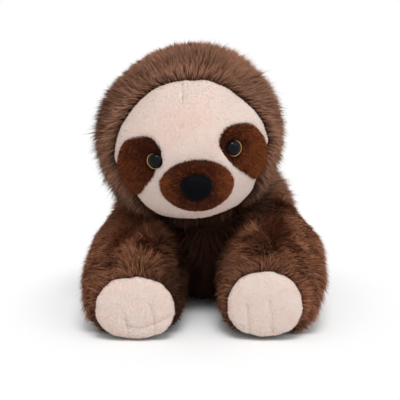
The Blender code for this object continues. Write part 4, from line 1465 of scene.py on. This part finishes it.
class SLOTH_OT_stage(Piece):
    """Floor, lamps and camera"""

    bl_idname = "sloth.stage"
    bl_label = "Stage"

    def execute(self, context):
        studio = self.sizes.studio
        scene = bpy.context.scene
        bm = bmesh.new()
        bmesh.ops.create_grid(bm, x_segments=8, y_segments=8, size=studio.floor_size / 2)
        floor = linked("floor", mesh_of(bm, self.floor_finish(), outward=False))
        self.lamp("key", KEY_PLACE, KEY_SIZE, studio.key_power)
        self.lamp("fill", FILL_PLACE, FILL_SIZE, studio.fill_power)
        self.light_sky(studio.sky)
        data = bpy.data.cameras.new("camera")
        data.lens = studio.camera_lens
        data.clip_end = 100.0
        camera = linked("camera", data)
        ahead = Vector((0.0, cos(studio.camera_elevation), -sin(studio.camera_elevation)))
        camera.location = Vector(CAMERA_TARGET) - ahead * studio.camera_distance
        camera.rotation_euler = (pi / 2 - studio.camera_elevation, 0.0, 0.0)
        scene.camera = camera
        scene.view_settings.view_transform = "Standard"
        return {"FINISHED"}

    def floor_finish(self):
        """White floor that keeps the toy's shadow and runs out into plain white."""
        made = mottled("white floor", 0.9, 0.0, 9.0, (0.97, 0.97, 0.97), (0.99, 0.99, 0.99))
        nodes = Nodes(made.node_tree)
        away = nodes.vector("DISTANCE", object_place(nodes), FOOTPRINT_MIDDLE, output="Value")
        white = nodes.add("ShaderNodeEmission", None, {"Color": WHITE, "Strength": 1.0})
        first, second = [nodes.ramp(away, near, far) * gain for near, far, gain in FLOOR_FADES]
        share = first + second + FLOOR_WHITE
        free = nodes.add("ShaderNodeAmbientOcclusion", {"samples": CONTACT_SAMPLES}, {
            "Distance": CONTACT_REACH}, "AO")
        share = self.seen(nodes) * share * nodes.ramp(free, *CONTACT_OPENNESS)
        lit = Term(nodes, made.node_tree.nodes["Principled BSDF"].outputs["BSDF"])
        mixed = nodes.add("ShaderNodeMixShader", None, (share, lit, white))
        nodes.feed(made.node_tree.nodes["Material Output"].inputs["Surface"], mixed)
        return made

    def seen(self, nodes):
        """1 where a surface is seen by the camera, in a mirror or through glass."""
        rays = [nodes.add("ShaderNodeLightPath", output=ray) for ray in (
            "Is Camera Ray", "Is Glossy Ray", "Is Transmission Ray")]
        return rays[0].at_least(rays[1]).at_least(rays[2])

    def lamp(self, name, place, size, power):
        """Square soft lamp aimed at the toy."""
        data = bpy.data.lights.new(name, "AREA")
        data.size = size
        data.energy = power
        made = linked(name, data)
        made.location = place
        made.rotation_euler = (Vector(LAMP_TARGET) - Vector(place)).to_track_quat("-Z", "Y").to_euler()

    def light_sky(self, strength):
        """Even light from all sides, white where it is seen or mirrored."""
        sky = bpy.data.worlds.new("studio")
        bpy.context.scene.world = sky
        sky.use_nodes = True
        nodes = Nodes(sky.node_tree)
        seen = self.seen(nodes)
        background = sky.node_tree.nodes["Background"]
        background.inputs["Color"].default_value = WHITE
        nodes.feed(background.inputs["Strength"], seen * (1.0 - strength) + strength)


OPERATORS = (
    SLOTH_OT_stage, SLOTH_OT_long_pile, SLOTH_OT_face, SLOTH_OT_muzzle, SLOTH_OT_nose, SLOTH_OT_eyes,
    SLOTH_OT_pads, SLOTH_OT_washers,
)


class SLOTH_PT_panel(Panel):
    """Lists the pieces of the sloth"""

    bl_idname = "SLOTH_PT_panel"
    bl_label = "Plush sloth"
    bl_space_type = "VIEW_3D"
    bl_region_type = "UI"
    bl_category = "Sloth"

    def draw(self, context):
        for group in ("pile", "face", "colours", "studio"):
            box = self.layout.box()
            box.label(text=group.title())
            sizes = getattr(context.scene.sloth, group)
            for name in sizes.__annotations__:
                box.prop(sizes, name)
        for operator in OPERATORS:
            self.layout.operator(operator.bl_idname)


CLASSES = (PileSizes, FaceSizes, Colours, StudioSizes, SlothSizes, *OPERATORS, SLOTH_PT_panel)


def register():
    """Register the classes and the sizes."""
    for made in CLASSES:
        bpy.utils.register_class(made)
    bpy.types.Scene.sloth = PointerProperty(type=SlothSizes)


def unregister():
    """Take the classes and the sizes away again."""
    del bpy.types.Scene.sloth
    for made in reversed(CLASSES):
        bpy.utils.unregister_class(made)


def main():
    """Make every piece around the frame."""
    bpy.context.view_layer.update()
    register()
    for operator in OPERATORS:
        group, name = operator.bl_idname.split(".")
        getattr(getattr(bpy.ops, group), name)()


if __name__ == "__main__":
    main()
